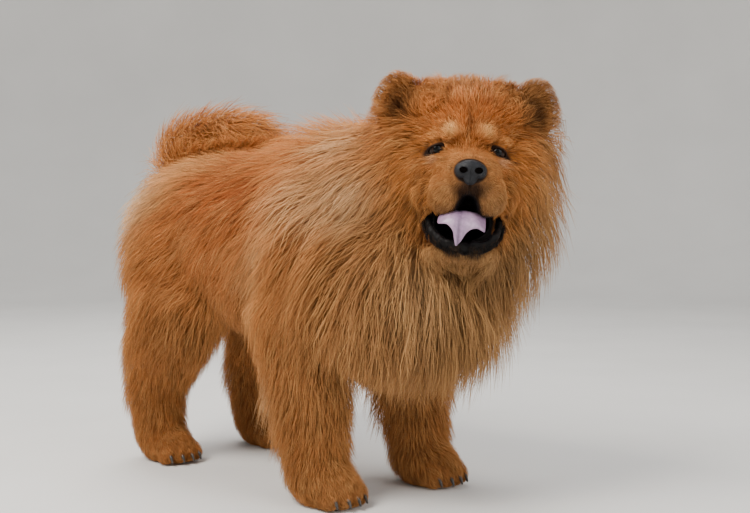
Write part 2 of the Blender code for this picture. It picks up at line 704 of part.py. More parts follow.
def grown_lock(name, root, normal, skin, others, rng):
    """A closed lock rooted there and bent clear of the other nodes, if there is room for one."""
    coat_of = {"tail": tail_coat, "head": head_coat}.get(name, body_coat)
    lie, length, stand_off, freedom = coat_of(root)
    lie = (lie + lie.cross(normal) * rng.uniform(-0.16, 0.16)).normalized()
    length *= rng.uniform(0.85, 1.15)
    width = LOCK_WIDTH * rng.uniform(0.85, 1.1) * WIDTH_SHARE.get(name, 1.0)
    thickness = LOCK_THICKNESS * rng.uniform(0.85, 1.15)
    twist = rng.uniform(-0.12, 0.12)
    for lift, narrower, shorter in LOCK_TRIES:
        coat = (lie, length * shorter, stand_off, freedom)
        points, normals = lock_path(skin, root, normal, coat, lift)
        sizes = (width * narrower, thickness, twist)
        room = BVHTree.FromPolygons(*lock_mesh(points, normals, *sizes, grow=2 * GAP))
        if not any(room.overlap(other) for other in others):
            lock = new_object("lock", *lock_mesh(points, normals, *sizes))
            face_outwards(lock)
            return lock
    return None


def grown_locks(name, obj, skin, others, rng):
    made, roots = [], []
    for root, normal in random_roots(obj, rng, ROOT_TRIES.get(name, 900)):
        if any((root - other).length < SPACING[name] for other in roots) or not long_haired(name, root):
            continue
        if skin.find_nearest(root)[3] > 0.006:  # on a cut face
            continue
        if any(other.ray_cast(root + normal * 0.002, normal, COVERED)[0] is not None for other in others):
            continue
        lock = grown_lock(name, root, normal, skin, others, rng)
        if lock:
            made.append(lock)
            roots.append(root)
    return made


def is_sound(obj):
    """Whether the surface is closed and nowhere touches itself."""
    mesh = bmesh.new()
    mesh.from_mesh(obj.data)
    sound = all(edge.is_manifold for edge in mesh.edges) and all(vert.is_manifold for vert in mesh.verts)
    mesh.free()
    return sound


def clothe(nodes, core, fine_core):
    """Locks over every long-haired node, those that lie under the others first."""
    trees = {name: tree_of(obj) for name, obj in nodes.items()}
    for name in SPACING:
        others = [tree for other, tree in trees.items() if other != name]
        skin = {"tail": trees["tail"], "head": fine_core}.get(name, core)
        for draw in range(DRAWS):
            seed = SEED + FIRST_DRAW.get(name, 0) + draw
            locks = grown_locks(name, nodes[name], skin, others, random.Random(f"{name} {seed}"))
            coated = copy_of(nodes[name], "coated")
            boolean(coated, "UNION", *locks, solver="MANIFOLD")
            keep_largest(coated)
            if is_sound(coated):
                break
            if draw < DRAWS - 1:
                remove([coated])
        print(name, len(locks), "locks in draw", draw)
        remove([nodes[name]])
        nodes[name] = coated
        trees[name] = tree_of(coated)


def triangles(obj):
    return sum(len(face.vertices) - 2 for face in obj.data.polygons)


def centred(name, objects):
    """Parents all to an empty that brings the middle of their box over the origin."""
    points = [v.co for obj in objects for v in obj.data.vertices]
    low = Vector([min(p[k] for p in points) for k in range(3)])
    high = Vector([max(p[k] for p in points) for k in range(3)])
    stand = bpy.data.objects.new(name, None)
    bpy.context.scene.collection.objects.link(stand)
    stand.location = (-(low.x + high.x) / 2, -(low.y + high.y) / 2, -low.z)
    for obj in objects:
        obj.parent = stand
    print("shift", *[round(c, 6) for c in stand.location], "size", *[round(c, 4) for c in high - low])


def main():
    for obj in list(bpy.data.objects):
        bpy.data.objects.remove(obj)
    whole = whole_form("whole", CORE_SHARE, BODY_VOXEL, BODY_TRIANGLES)
    core = tree_of(whole)
    fine = whole_form("fine", CORE_SHARE, HEAD_VOXEL, HEAD_TRIANGLES)
    legs = {}
    for name, region in (("foreleg", FORELEG_REGION), ("hindleg", HINDLEG_REGION)):
        for side, rows in (("left", region), ("right", flip(region))):
            cut = limb(rows, sides=14, per_span=2, cap=0.7)
            legs[f"{name}_{side}"] = taken_out(whole, cut, f"{name}_{side}")
    keep_largest(whole)
    _, rest = parted(whole, HEAD_CUT, "spare", "rest", HEAD)
    remove([bpy.data.objects["spare"]])
    fine_core = tree_of(fine)
    head, _ = parted(fine, HEAD_CUT, "head", "spare", HEAD)
    remove([bpy.data.objects["spare"]])
    neck, rest = parted(rest, NECK_CUT, "neck", "rest")
    front, rear = parted(rest, WAIST_CUT, "torso_front", "torso_rear")
    nodes = {"head": head, "neck": neck, "torso_front": front, "torso_rear": rear, **legs}

    tail = fused("tail", [limb(TAIL, CORE_SHARE, sides=14, per_span=2, cap=0.9)], BODY_VOXEL, 3, 400)
    for other in (front, rear):
        boolean(other, "DIFFERENCE", swollen(tail))
    nodes["tail"] = tail

    boolean(head, "DIFFERENCE", limb(MOUTH, sides=14, per_span=2, place=HEAD))
    lower, licker = jaw(), tongue()
    for other in (head, neck):
        boolean(other, "DIFFERENCE", swollen(lower))
    for other in (head, lower, neck):
        boolean(other, "DIFFERENCE", swollen(licker))
    nodes["lower_jaw"], nodes["tongue"] = lower, licker
    for side, eye in zip((1, -1), eyes()):
        eye_socket(head, side)
        nodes["eye_left" if side > 0 else "eye_right"] = eye
    for side in (1, -1):
        leaf, plug = ear(side)
        boolean(head, "DIFFERENCE", copy_of(plug, "plug"))
        boolean(neck, "DIFFERENCE", plug)
        nodes[leaf.name] = leaf
    pad, plug = nose()
    boolean(head, "DIFFERENCE", plug)
    nodes["nose"] = pad
    if not PLAIN_COAT:
        clothe(nodes, core, fine_core)
    for name, obj in nodes.items():
        obj.name = name
        keep_largest(obj)
        print(name, triangles(obj), "triangles")

    slots = {"nose": "nose", "lower_jaw": "lip", "tongue": "tongue", "eye_left": "eye", "eye_right": "eye"}
    for name, obj in nodes.items():
        painted(obj, slots.get(name, "coat"))
    centred("chow_chow", nodes.values())
    print(sum(triangles(obj) for obj in nodes.values()), "triangles in all")


main()
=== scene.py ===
"""Looks of the chow chow: skin, coat, eyes, nose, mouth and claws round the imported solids. Metres, +Z up."""

import math

import bmesh
import bpy
import numpy as np
from mathutils import Matrix, Vector
from mathutils.bvhtree import BVHTree
from mathutils.kdtree import KDTree


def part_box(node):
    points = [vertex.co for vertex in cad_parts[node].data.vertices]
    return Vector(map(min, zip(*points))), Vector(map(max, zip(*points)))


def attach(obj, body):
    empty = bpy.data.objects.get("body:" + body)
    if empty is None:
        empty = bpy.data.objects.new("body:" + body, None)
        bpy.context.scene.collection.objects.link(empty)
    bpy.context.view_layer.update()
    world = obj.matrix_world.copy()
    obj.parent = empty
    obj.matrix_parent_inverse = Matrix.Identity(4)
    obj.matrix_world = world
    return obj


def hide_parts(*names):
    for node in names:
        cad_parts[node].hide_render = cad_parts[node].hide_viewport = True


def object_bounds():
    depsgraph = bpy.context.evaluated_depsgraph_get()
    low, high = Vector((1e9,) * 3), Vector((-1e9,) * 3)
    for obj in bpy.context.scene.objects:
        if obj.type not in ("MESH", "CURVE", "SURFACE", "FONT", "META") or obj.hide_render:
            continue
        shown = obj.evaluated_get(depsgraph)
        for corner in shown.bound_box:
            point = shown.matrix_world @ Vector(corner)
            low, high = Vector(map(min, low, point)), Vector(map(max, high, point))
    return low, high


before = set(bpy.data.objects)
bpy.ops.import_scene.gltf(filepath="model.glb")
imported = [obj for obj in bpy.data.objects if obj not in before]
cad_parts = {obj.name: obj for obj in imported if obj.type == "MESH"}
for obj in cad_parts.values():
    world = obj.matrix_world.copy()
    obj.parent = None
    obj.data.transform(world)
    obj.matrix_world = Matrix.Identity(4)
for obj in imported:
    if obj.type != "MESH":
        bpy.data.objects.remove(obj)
CAD_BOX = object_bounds()

SEED = 5

# Pose: the same plan as the solids, in the dog's own frame (it faces -Y)
LEG_X = 0.103
FORE_Y, HIND_Y = -0.200, 0.212
SPINE_Z = 0.368
EYES = Vector((-0.024, -0.430, 0.506))
HEAD_YAW, HEAD_ROLL = -41.0, 3.0
EYE_X, EYE_RADIUS, LID = 0.041, 0.0112, 0.0022
EYE_SLANT, EYE_FACE_OUT = 27.0, 14.0
CORNEA = 0.045  # share of the radius that it stands out
SLIT_AT = Vector((0.0005, -0.014, -0.0005))  # from the middle of the eyeball
SLIT_WIDTH, SLIT_DEPTH, SLIT_HEIGHT = 0.0122, 0.012, 0.0047  # halves of the opening between the lids
NOSE_AT = Vector((0.0, -0.0715, -0.0265))

SKIN_SHARE = 0.36  # of the coat's depth, which the skin takes as undercoat
SKIN_VOXEL = 0.0019
GAP = 0.0003  # between the skin and the eyeballs
BODY_SMOOTHING, FACE_SMOOTHING = 60, 4
SKIN_TRIANGLES = 150000

# Camera, as the photograph was taken
CAMERA_AT = Vector((-1.249, -1.605, 0.440))
CAMERA_AZIMUTH, CAMERA_PITCH = -42.0, -2.59
LENS, SENSOR = 60.0, 36.0
LAMPS_AIM = 0.32  # above the floor
FLOOR_REACH, FLOOR_SIDES, WALL_BEND, WALL_HEIGHT = 3.6, 96, 1.6, 3.4

# Flesh as limbs: x, y, z of each station, half width, half depth and the depth of the coat on it
TORSO = [
    (0, -0.265, 0.372, 0.1, 0.112, 0.052),
    (0, -0.18, SPINE_Z, 0.126, 0.132, 0.048),
    (0, -0.06, SPINE_Z, 0.131, 0.132, 0.043),
    (0, 0.06, SPINE_Z + 0.006, 0.122, 0.119, 0.043),
    (0, 0.16, SPINE_Z + 0.014, 0.118, 0.112, 0.045),
    (0, 0.232, SPINE_Z + 0.022, 0.098, 0.092, 0.05),
]
NECK = [
    (0, -0.14, 0.395, 0.098, 0.1, 0.045),
    (0, -0.225, 0.408, 0.095, 0.092, 0.054),
    (0.008, -0.29, 0.438, 0.086, 0.088, 0.056),
    (0.014, -0.345, 0.462, 0.074, 0.08, 0.045),
]
FORELEG = [
    (LEG_X, FORE_Y + 0.02, 0.275, 0.052, 0.066, 0.03),
    (LEG_X, FORE_Y + 0.012, 0.205, 0.043, 0.05, 0.028),
    (LEG_X, FORE_Y + 0.004, 0.13, 0.036, 0.037, 0.024),
    (LEG_X, FORE_Y - 0.004, 0.07, 0.034, 0.035, 0.016),
    (LEG_X, FORE_Y - 0.012, 0.036, 0.037, 0.04, 0.008),
]
HINDLEG = [
    (LEG_X - 0.006, HIND_Y - 0.056, 0.285, 0.055, 0.076, 0.034),
    (LEG_X, HIND_Y - 0.026, 0.205, 0.044, 0.054, 0.03),
    (LEG_X, HIND_Y + 0.01, 0.135, 0.033, 0.04, 0.024),
    (LEG_X, HIND_Y + 0.01, 0.075, 0.03, 0.033, 0.018),
    (LEG_X, HIND_Y - 0.002, 0.036, 0.034, 0.037, 0.008),
]
TAIL = [
    (0, 0.262, 0.455, 0.026, 0.028, 0.04),
    (0, 0.286, 0.49, 0.024, 0.024, 0.05),
    (0.004, 0.262, 0.522, 0.022, 0.02, 0.05),
    (0.01, 0.205, 0.537, 0.02, 0.018, 0.048),
    (0.016, 0.14, 0.536, 0.017, 0.015, 0.044),
    (0.02, 0.085, 0.526, 0.012, 0.01, 0.036),
]
# Flesh as balls: centre, radii and coat
CHEST = [(0.01, -0.262, 0.312, 0.112, 0.104, 0.108, 0.064)]
SHOULDER = [(0.088, -0.195, 0.335, 0.056, 0.078, 0.104, 0.04)]
THIGH = [(0.08, 0.172, 0.322, 0.062, 0.088, 0.112, 0.04)]
PAW_Z = 0.027
FORE_PAW = [(LEG_X, FORE_Y - 0.03, PAW_Z, 0.04, 0.05, 0.03, 0.004)]
HIND_PAW = [(LEG_X, HIND_Y - 0.022, PAW_Z - 0.001, 0.036, 0.047, 0.028, 0.004)]
TOE_SPREAD, TOE_REACH, TOE_SIZE = 0.0185, 0.041, 0.0145
TOE_DROP, TOES_ROUNDED = 0.009, 0.007
CLAW_LENGTH, CLAW_RADIUS = 0.013, 0.0032

# Head, in its own frame: origin between the eyeballs, facing -Y, +Z up
SKULL = [(0, 0.062, 0.028, 0.072, 0.068, 0.058, 0.01)]
TEMPLE = [
    (0.05, 0.046, 0.058, 0.036, 0.038, 0.03, 0.004),
    (0.083, 0.072, 0.006, 0.03, 0.036, 0.05, 0),
]
JOWL = [(0.068, 0.074, -0.012, 0.036, 0.038, 0.058, 0)]
BROW = [(0, 0.024, 0.03, 0.056, 0.03, 0.034, 0.004)]
CHEEK = [(0.056, 0.05, -0.034, 0.036, 0.042, 0.046, 0.014)]
EYE_BUMP = [(0.0225, -0.0085, 0.025, 0.014, 0.0115, 0.011, 0.001)]
LID_FOLD = [(0.046, 0.001, 0.014, 0.0135, 0.01, 0.0064, 0.0005)]
UNDER_EYE = [(0.04, -0.004, -0.03, 0.026, 0.018, 0.022, 0.002)]
FLEW = [(0.027, -0.04, -0.058, 0.0235, 0.027, 0.0265, 0.001)]
LIP_CORNER = [(0.048, -0.008, -0.06, 0.018, 0.024, 0.024, 0.001)]
RUFF = [(0, 0.08, -0.072, 0.085, 0.046, 0.096, 0.066)]
CHIN = [(0, -0.006, -0.1365, 0.043, 0.045, 0.0165, 0)]
HALF_LIP = [  # of the lower jaw, from the corner of the mouth to beside its middle
    (-0.045, 0.012, -0.074, 0.0045, 0.0045),
    (-0.048, -0.006, -0.094, 0.0052, 0.0046),
    (-0.043, -0.029, -0.111, 0.006, 0.0048),
    (-0.027, -0.046, -0.124, 0.0066, 0.005),
]
MIDDLE_LIP = [(0, -0.053, -0.129, 0.007, 0.0052)]
LOWER_LIP = HALF_LIP + MIDDLE_LIP + [(-x, *rest) for x, *rest in reversed(HALF_LIP)]
MUZZLE = [
    (0, 0.01, -0.026, 0.046, 0.034, 0.002),
    (0, -0.026, -0.032, 0.043, 0.029, 0.002),
    (0, -0.054, -0.036, 0.035, 0.026, 0.002),
]
MOUTH_CUTS = [  # balls that open the mouth: below the flews, between them, and up to the palate
    (0, -0.028, -0.104, 0.0455, 0.062, 0.0215),
    (0, -0.056, -0.083, 0.013, 0.03, 0.024),
    (0, 0.004, -0.098, 0.04, 0.04, 0.026),
]
TONGUE = [
    (0, 0.012, -0.096, 0.024, 0.0065),
    (-0.002, -0.02, -0.088, 0.028, 0.0055),
    (-0.005, -0.046, -0.085, 0.031, 0.0048),
    (-0.008, -0.06, -0.09, 0.0305, 0.0042),
    (-0.009, -0.0665, -0.0975, 0.018, 0.0038),
    (-0.01, -0.069, -0.107, 0.0095, 0.0034),
    (-0.0115, -0.0695, -0.117, 0.0055, 0.003),
    (-0.0125, -0.069, -0.125, 0.0026, 0.0022),
]
TONGUE_DROP = 0.012  # of its sides, in front
TONGUE_MIDDLE, TONGUE_TURN, TONGUE_HALF = -0.003, 0.11, 0.03
TONGUE_GROOVE, NOSE_GROOVE = (0.0016, 0.07), (0.0012, 0.0011)  # depth, and width (the tongue's as a share)
NOSE_PAD = [  # balls: from the nose's place, and radii
    (0, 0, 0, 0.0185, 0.011, 0.0125),
    (0, 0.001, -0.008, 0.0105, 0.01, 0.013),
    (0.0125, 0.001, -0.002, 0.0088, 0.0105, 0.01),
    (0, 0.008, 0.005, 0.015, 0.011, 0.008),
]
NOSE_VOXEL, NOSE_SMOOTHING = 0.0006, 14
NOSE_BALL = (0.0205, 0.014, 0.0165)
NOSTRIL_X = 0.0102
NOSTRIL = [(-0.0005, -0.02, -0.002, 0.0064, 0.005248), (0, -0.001, -0.001, 0.00512, 0.00384)]
NOSTRIL_SLOT = [(0.001, -0.0145, -0.0035, 0.0024, 0.0019), (0.014, -0.01, -0.0085, 0.0022, 0.0015)]
# Folds of the face: how each runs, x and z on its line, slope, depth, width, and the ramps at its ends
FACING, CHEEK_FACING = ("fore", -0.03, -0.005), ("fore", -0.05, -0.03)
FOLDS = [
    ("upright", 0, 0, 0, 0.0028, 0.0032, ("up", 0.004, 0.018), ("down", -0.066, -0.048), FACING),
    ("upright", 0, 0, 0, 0.0022, 0.0016, ("down", 0.042, 0.048), ("up", -0.09, -0.08), FACING),
    ("upright", 0.058, -0.05, 0.16, 0.003, 0.003, ("down", 0.022, 0.034), ("up", -0.1, -0.08), CHEEK_FACING),
    ("level", 0.024, 0.04, 0.3, 0.0018, 0.0026, ("out", 0.012, 0.02), ("in", -0.06, -0.048), FACING),
    ("upright", 0.0515, -0.06, 0.1, 0.0034, 0.0026, ("down", 0.034, 0.05), ("up", -0.092, -0.082), FACING),
    ("level", 0.04, -0.0165, 0.2, 0.0016, 0.0022, ("out", 0.022, 0.03), ("in", -0.062, -0.054), FACING),
]
EAR_BASE = Vector((0.084, 0.05, 0.046))
EAR_LEAN_OUT, EAR_LEAN_FORE, EAR_TURN = 14.0, 16.0, 14.0
EAR = [  # up the ear, half width, half thickness
    (-0.024, 0.034, 0.016),
    (0.004, 0.038, 0.016),
    (0.026, 0.032, 0.012),
    (0.043, 0.021, 0.008),
    (0.052, 0.01, 0.005),
]
EAR_CUP_SHARE, EAR_CUP_FORE, EAR_CUP_RISE = 0.74, 0.0095, 0.004
EAR_HOLLOW, EAR_HOLLOW_REACH = (0, -0.008, 0.008), 0.0105

# Lie of the coat: place, direction, length, stand-off of the tip, and how freely it hangs (0 hugs the body)
COAT = [
    ((0, -0.13, 0.52), (0, 1.0, 0), 0.08, 0.02, 0.1),
    ((0, 0.02, 0.505), (0, 1.0, 0.05), 0.075, 0.022, 0.1),
    ((0, 0.16, 0.5), (0, 1.0, 0), 0.07, 0.022, 0.1),
    ((0.135, -0.15, 0.42), (0.3, 0.8, -0.6), 0.095, 0.028, 0.2),
    ((0.15, -0.04, 0.36), (0.1, 0.8, -0.7), 0.08, 0.022, 0.1),
    ((0.14, 0.06, 0.33), (0, 0.8, -0.7), 0.078, 0.022, 0.1),
    ((0.12, -0.02, 0.25), (0, 0.6, -0.9), 0.08, 0.024, 0.3),
    ((0, 0.02, 0.235), (0, 1.0, -0.25), 0.07, 0.018, 0.2),
    ((0.14, 0.17, 0.4), (0.1, 0.8, -0.6), 0.08, 0.024, 0.1),
    ((0.135, 0.19, 0.29), (0, 0.6, -0.9), 0.08, 0.024, 0.2),
    ((0.06, 0.32, 0.36), (0.1, 0.6, -0.9), 0.095, 0.032, 0.3),
    ((0.11, 0.24, 0.45), (0.7, 0.8, -0.4), 0.095, 0.046, 0.8),
    ((0.09, 0.29, 0.23), (0.1, 0.6, -0.9), 0.075, 0.022, 0.3),
    ((0, -0.38, 0.33), (0, -0.3, -1.0), 0.095, 0.034, 0.35),
    ((0.07, -0.35, 0.25), (0.2, -0.1, -1.0), 0.078, 0.03, 0.35),
    ((0, -0.3, 0.21), (0, 0.3, -1.0), 0.064, 0.024, 0.4),
    ((0.09, -0.27, 0.21), (0.2, -0.1, -1.0), 0.06, 0.022, 0.3),
    ((0.13, -0.25, 0.33), (0.3, 0.4, -1.0), 0.095, 0.03, 0.3),
    ((0.12, -0.18, 0.23), (0.2, 0.5, -1.0), 0.08, 0.024, 0.2),
    ((0.1, -0.14, 0.16), (0.1, 1.0, -0.8), 0.095, 0.05, 0.7),
    ((0.145, -0.2, 0.19), (0.6, -0.1, -1.0), 0.07, 0.03, 0.4),
    ((0.1, -0.24, 0.15), (0.2, -0.2, -1.0), 0.048, 0.017, 0.2),
    ((0.103, -0.22, 0.07), (0.2, -0.2, -1.0), 0.034, 0.011, 0.1),
    ((0.103, -0.19, 0.08), (0.2, 0.5, -1.0), 0.04, 0.016, 0.2),
    ((0.103, -0.255, 0.03), (0, -1.0, -0.5), 0.014, 0.003, 0),
    ((0.103, 0.24, 0.15), (0.1, 0.5, -1.0), 0.056, 0.022, 0.2),
    ((0.103, 0.19, 0.12), (0.1, -0.2, -1.0), 0.04, 0.013, 0.1),
    ((0.103, 0.22, 0.06), (0.1, 0.2, -1.0), 0.03, 0.009, 0),
    ((0.103, 0.165, 0.03), (0, -1.0, -0.5), 0.014, 0.003, 0),
]
# The same on the head, in its frame
FACE_COAT = [
    ((0, -0.06, -0.008), (0, 0.6, 1.0), 0.007, 0.0012, 0),
    ((0, -0.03, 0.002), (0, 0.4, 1.0), 0.009, 0.0018, 0),
    ((0.01, -0.01, 0.03), (0.4, 0.3, 1.0), 0.013, 0.003, 0),
    ((0.023, -0.02, 0.026), (0.6, 0.2, 0.9), 0.011, 0.003, 0),
    ((0.05, -0.008, 0.022), (0.9, 0.4, 0.6), 0.013, 0.0032, 0),
    ((0, 0.004, 0.062), (0, 0.4, 1.0), 0.024, 0.009, 0.1),
    ((0.045, 0.01, 0.06), (0.5, 0.3, 1.0), 0.03, 0.012, 0.2),
    ((0.056, 0.04, 0.085), (0.2, 0.1, 1.0), 0.042, 0.026, 0.6),
    ((0.02, -0.04, -0.015), (0.9, 0.5, 0.1), 0.008, 0.0016, 0),
    ((0.041, -0.02, -0.016), (0.7, 0.4, -0.5), 0.01, 0.0022, 0),
    ((0.062, -0.002, -0.018), (0.9, 0.4, -0.5), 0.022, 0.008, 0.1),
    ((0.076, 0.024, 0.01), (1.0, 0.4, -0.1), 0.05, 0.024, 0.5),
    ((0.08, 0.03, -0.04), (1.0, 0.4, -0.6), 0.066, 0.03, 0.6),
    ((0.074, 0.024, -0.085), (0.8, 0.4, -1.0), 0.066, 0.026, 0.5),
    ((0.028, -0.064, -0.034), (0.9, 0.6, -0.3), 0.007, 0.0012, 0),
    ((0.036, -0.05, -0.062), (0.7, 0.5, -0.7), 0.013, 0.0042, 0),
    ((0.014, -0.062, -0.062), (0.3, 0.2, -1.0), 0.007, 0.0014, 0),
    ((0.052, -0.014, -0.072), (0.5, -0.1, -1.0), 0.026, 0.008, 0.3),
    ((0, -0.056, -0.136), (0, -0.4, -1.0), 0.011, 0.0036, 0.1),
    ((0.034, -0.04, -0.128), (0.5, -0.3, -1.0), 0.011, 0.0036, 0.1),
    ((0.054, -0.01, -0.102), (0.8, -0.2, -0.9), 0.015, 0.006, 0.2),
    ((0.05, -0.028, -0.058), (0.8, 0.3, -0.6), 0.02, 0.008, 0.1),
    ((0, -0.03, -0.162), (0, 0.1, -1.0), 0.055, 0.018, 0.6),
    ((0.042, -0.008, -0.148), (0.5, 0.2, -1.0), 0.06, 0.022, 0.6),
    ((0, 0.04, 0.092), (0, 0.7, 1.0), 0.034, 0.016, 0.2),
]
RUFF_COAT = (0.12, 0.06, 0.85)  # length, stand-off and freedom round the face
NAPE_COAT = (0.08, 0.012, 0.05)
TAIL_COAT = (0.095, 0.042, 0.45)
EAR_COAT = (0.03, 0.012, 0.5)
RUFF_REACH, RUFF_BLEND = 0.215, 0.06
BODY_SOFTNESS, FACE_SOFTNESS = 0.0012, 0.0001  # square metres over which guides run together
FACE_DEPTH, FACE_BLEND = 0.02, 0.055  # behind the eyes, where the face's short hair turns to ruff

# Hair: width at the root and layers over each other by length, and how much the tips of a lock gather
WIDTH_THIN, WIDTH_THICK = 0.0006, 0.0012
LENGTH_THIN, LENGTH_THICK = 0.010, 0.085
LAYERS_SHORT, LAYERS_LONG = 3.0, 6.3
HAIR_PER_LOCK = 12
GATHER = 0.30
WAVE, WAVE_TURNS = 0.055, 1.1  # share of a hair's length, and how many waves it makes
TUFT_SIZE, TUFT_TURN = 0.075, 0.30  # the coat's broad tufts, and how far their lie turns
ROOM = 0.008  # how far the hair may stand out of the solids' box
PATH_STEPS = 6
PATCH = 0.003  # across the place of one tuft in the baking map
COAT_PIECE_TRIANGLES = 180000
RUFF_TO, RUMP_FROM, LEGS_BELOW = -0.16, 0.06, 0.225  # where the coat's pieces part
FLOOR_CLEAR, ABOVE_FLOOR = 0.004, 0.0005
ROOT_DEPTH = 0.001  # under the skin
RISE, FOLLOWS = 0.75, 0.65  # how soon a hair rises to its stand-off, and how closely it keeps to the body
SAG, SAG_FREE = 0.06, 0.25
LONG_FROM, LONG_AT = 0.02, 0.06  # lengths between which hair counts as long
LONGEST, SHORTER, SHORTER_LONG, TUFT_LONGER = 1.12, 0.36, 0.22, 0.1  # shares of the coat's length
LOWEST, HIGHEST, TUFT_HIGHER = 0.15, 1.25, 0.22  # shares of its stand-off
WIDTH_VARIES = (0.75, 1.2)
LYING_FROM, LYING_AT = 0.02, 0.05  # lengths between which hair takes its colour from where it lies
LIE_SPREAD, LIFT_SPREAD = 0.27, 0.18  # how far single hairs turn from the coat's lie, and rise from it

# Colours (linear): place in the dog's frame, colour, reach
BODY_TONES = [
    ((0, 0, 0.52), (0.47, 0.125, 0.022), 0.14),
    ((0, 0.18, 0.51), (0.5, 0.15, 0.03), 0.12),
    ((0.14, 0.05, 0.38), (0.48, 0.135, 0.026), 0.13),
    ((0.14, 0, 0.25), (0.5, 0.21, 0.062), 0.09),
    ((0, 0, 0.23), (0.5, 0.24, 0.085), 0.11),
    ((0.13, 0.2, 0.32), (0.44, 0.155, 0.036), 0.13),
    ((0, 0.33, 0.38), (0.54, 0.25, 0.082), 0.11),
    ((0.15, -0.2, 0.42), (0.52, 0.175, 0.038), 0.13),
    ((0, -0.38, 0.32), (0.33, 0.19, 0.08), 0.1),
    ((0.08, -0.33, 0.22), (0.33, 0.165, 0.062), 0.09),
    ((0.103, -0.2, 0.12), (0.39, 0.134, 0.033), 0.11),
    ((0.103, 0.21, 0.1), (0.4, 0.142, 0.036), 0.11),
    ((0.103, -0.25, 0.03), (0.45, 0.18, 0.052), 0.06),
]
BODY_SPOTS = [  # laid over the tones: place, colour, reach, strength
    ((0.15, -0.07, 0.45), (0.36, 0.07, 0.01), 0.055, 0.85),
    ((0.13, 0.05, 0.45), (0.37, 0.075, 0.011), 0.05, 0.75),
    ((0.16, 0, 0.35), (0.42, 0.105, 0.019), 0.045, 0.55),
    # Pale cream spots along the mane's rear edge and the flank's edge: painted highlight, light caught on the
    # coat's edges
    ((0.09, -0.235, 0.51), (0.82, 0.52, 0.27), 0.03, 0.75),
    ((0.14, -0.215, 0.43), (0.82, 0.54, 0.29), 0.032, 0.75),
    ((0.13, -0.29, 0.44), (0.82, 0.54, 0.29), 0.03, 0.8),
    ((0.16, -0.15, 0.37), (0.8, 0.5, 0.25), 0.02, 0.6),
    ((0.165, -0.105, 0.305), (0.76, 0.46, 0.21), 0.024, 0.5),
    ((0.1, 0.15, 0.5), (0.72, 0.38, 0.14), 0.036, 0.6),
    # Pale spots on the rump's fringe: painted highlight on the coat's edge
    ((0.12, 0.25, 0.44), (0.78, 0.52, 0.29), 0.042, 0.8),
    ((0.09, 0.32, 0.31), (0.7, 0.44, 0.22), 0.036, 0.5),
    ((0.13, 0.12, 0.235), (0.17, 0.07, 0.022), 0.034, 0.6),
    # Dark brown spots on the near side of the chest, under the ruff and the chin: painted shadow
    ((-0.11, -0.3, 0.325), (0.2, 0.115, 0.052), 0.03, 0.6),
    ((-0.05, -0.37, 0.29), (0.3, 0.2, 0.105), 0.028, 0.45),
    ((0.06, -0.35, 0.3), (0.56, 0.4, 0.22), 0.03, 0.45),
    ((0.13, -0.12, 0.155), (0.78, 0.52, 0.28), 0.03, 0.65),
]
TAIL_TONE = (0.56, 0.205, 0.05)
FACE_TONES = [  # in the head's frame
    ((0, 0, 0.06), (0.44, 0.105, 0.014), 0.05),
    ((0.065, 0.01, -0.03), (0.5, 0.17, 0.034), 0.04),
    ((0, -0.05, -0.02), (0.5, 0.19, 0.05), 0.03),
    ((0, -0.02, -0.15), (0.42, 0.15, 0.034), 0.04),
]
FACE_SPOTS = [
    ((0.022, -0.024, 0.027), (0.84, 0.47, 0.17), 0.008, 0.78),
    ((0.045, -0.014, 0.018), (0.76, 0.38, 0.12), 0.006, 0.45),
    ((0, -0.016, 0.03), (0.22, 0.048, 0.008), 0.0065, 0.7),
    ((0.014, -0.016, 0.012), (0.3, 0.08, 0.014), 0.0045, 0.55),
    ((0.044, -0.016, -0.014), (0.72, 0.4, 0.23), 0.0055, 0.55),
    # Dark rust spots down the cheek from the eye's outer corner: painted shadow along the cheek's fold
    ((0.056, -0.004, -0.03), (0.26, 0.07, 0.014), 0.009, 0.5),
    ((0.062, -0.004, -0.075), (0.22, 0.06, 0.012), 0.012, 0.5),
    ((0.03, -0.055, -0.072), (0.21, 0.13, 0.06), 0.013, 0.75),
    ((0.02, -0.062, -0.05), (0.12, 0.085, 0.052), 0.009, 0.55),
    ((0.085, 0.062, 0.02), (0.2, 0.05, 0.012), 0.018, 0.6),
    ((0.08, 0.04, -0.06), (0.64, 0.33, 0.11), 0.025, 0.45),
]
PATCHES = [(0.16, 1, 0.1), (0.045, 2, 0.07)]  # darker and lighter: size, seed, strength
# The gold of the painted sheen on some locks and hairs, and of the wash on the hairs' tips
GOLDEN = (0.82, 0.48, 0.18)
SHEEN_LOCK, SHEEN_HAIR = (0.06, 0.1), (0.03, 0.1)  # share of painted gold sheen in locks and in hairs: mean and spread
SHADE_LOCK, SHADE_HAIR = (1.0, 0.06), (1.06, 0.12)
# Along each hair: darker at the root as painted shade deep in the coat, and lighter and more gold towards the
# tip
ROOT_SHADE, TIP_LIGHTER, TIP_GOLDEN, NEVER_GOLDEN = 0.7, 0.45, 0.1, 0.12
BLACK = (0.006, 0.005, 0.005)
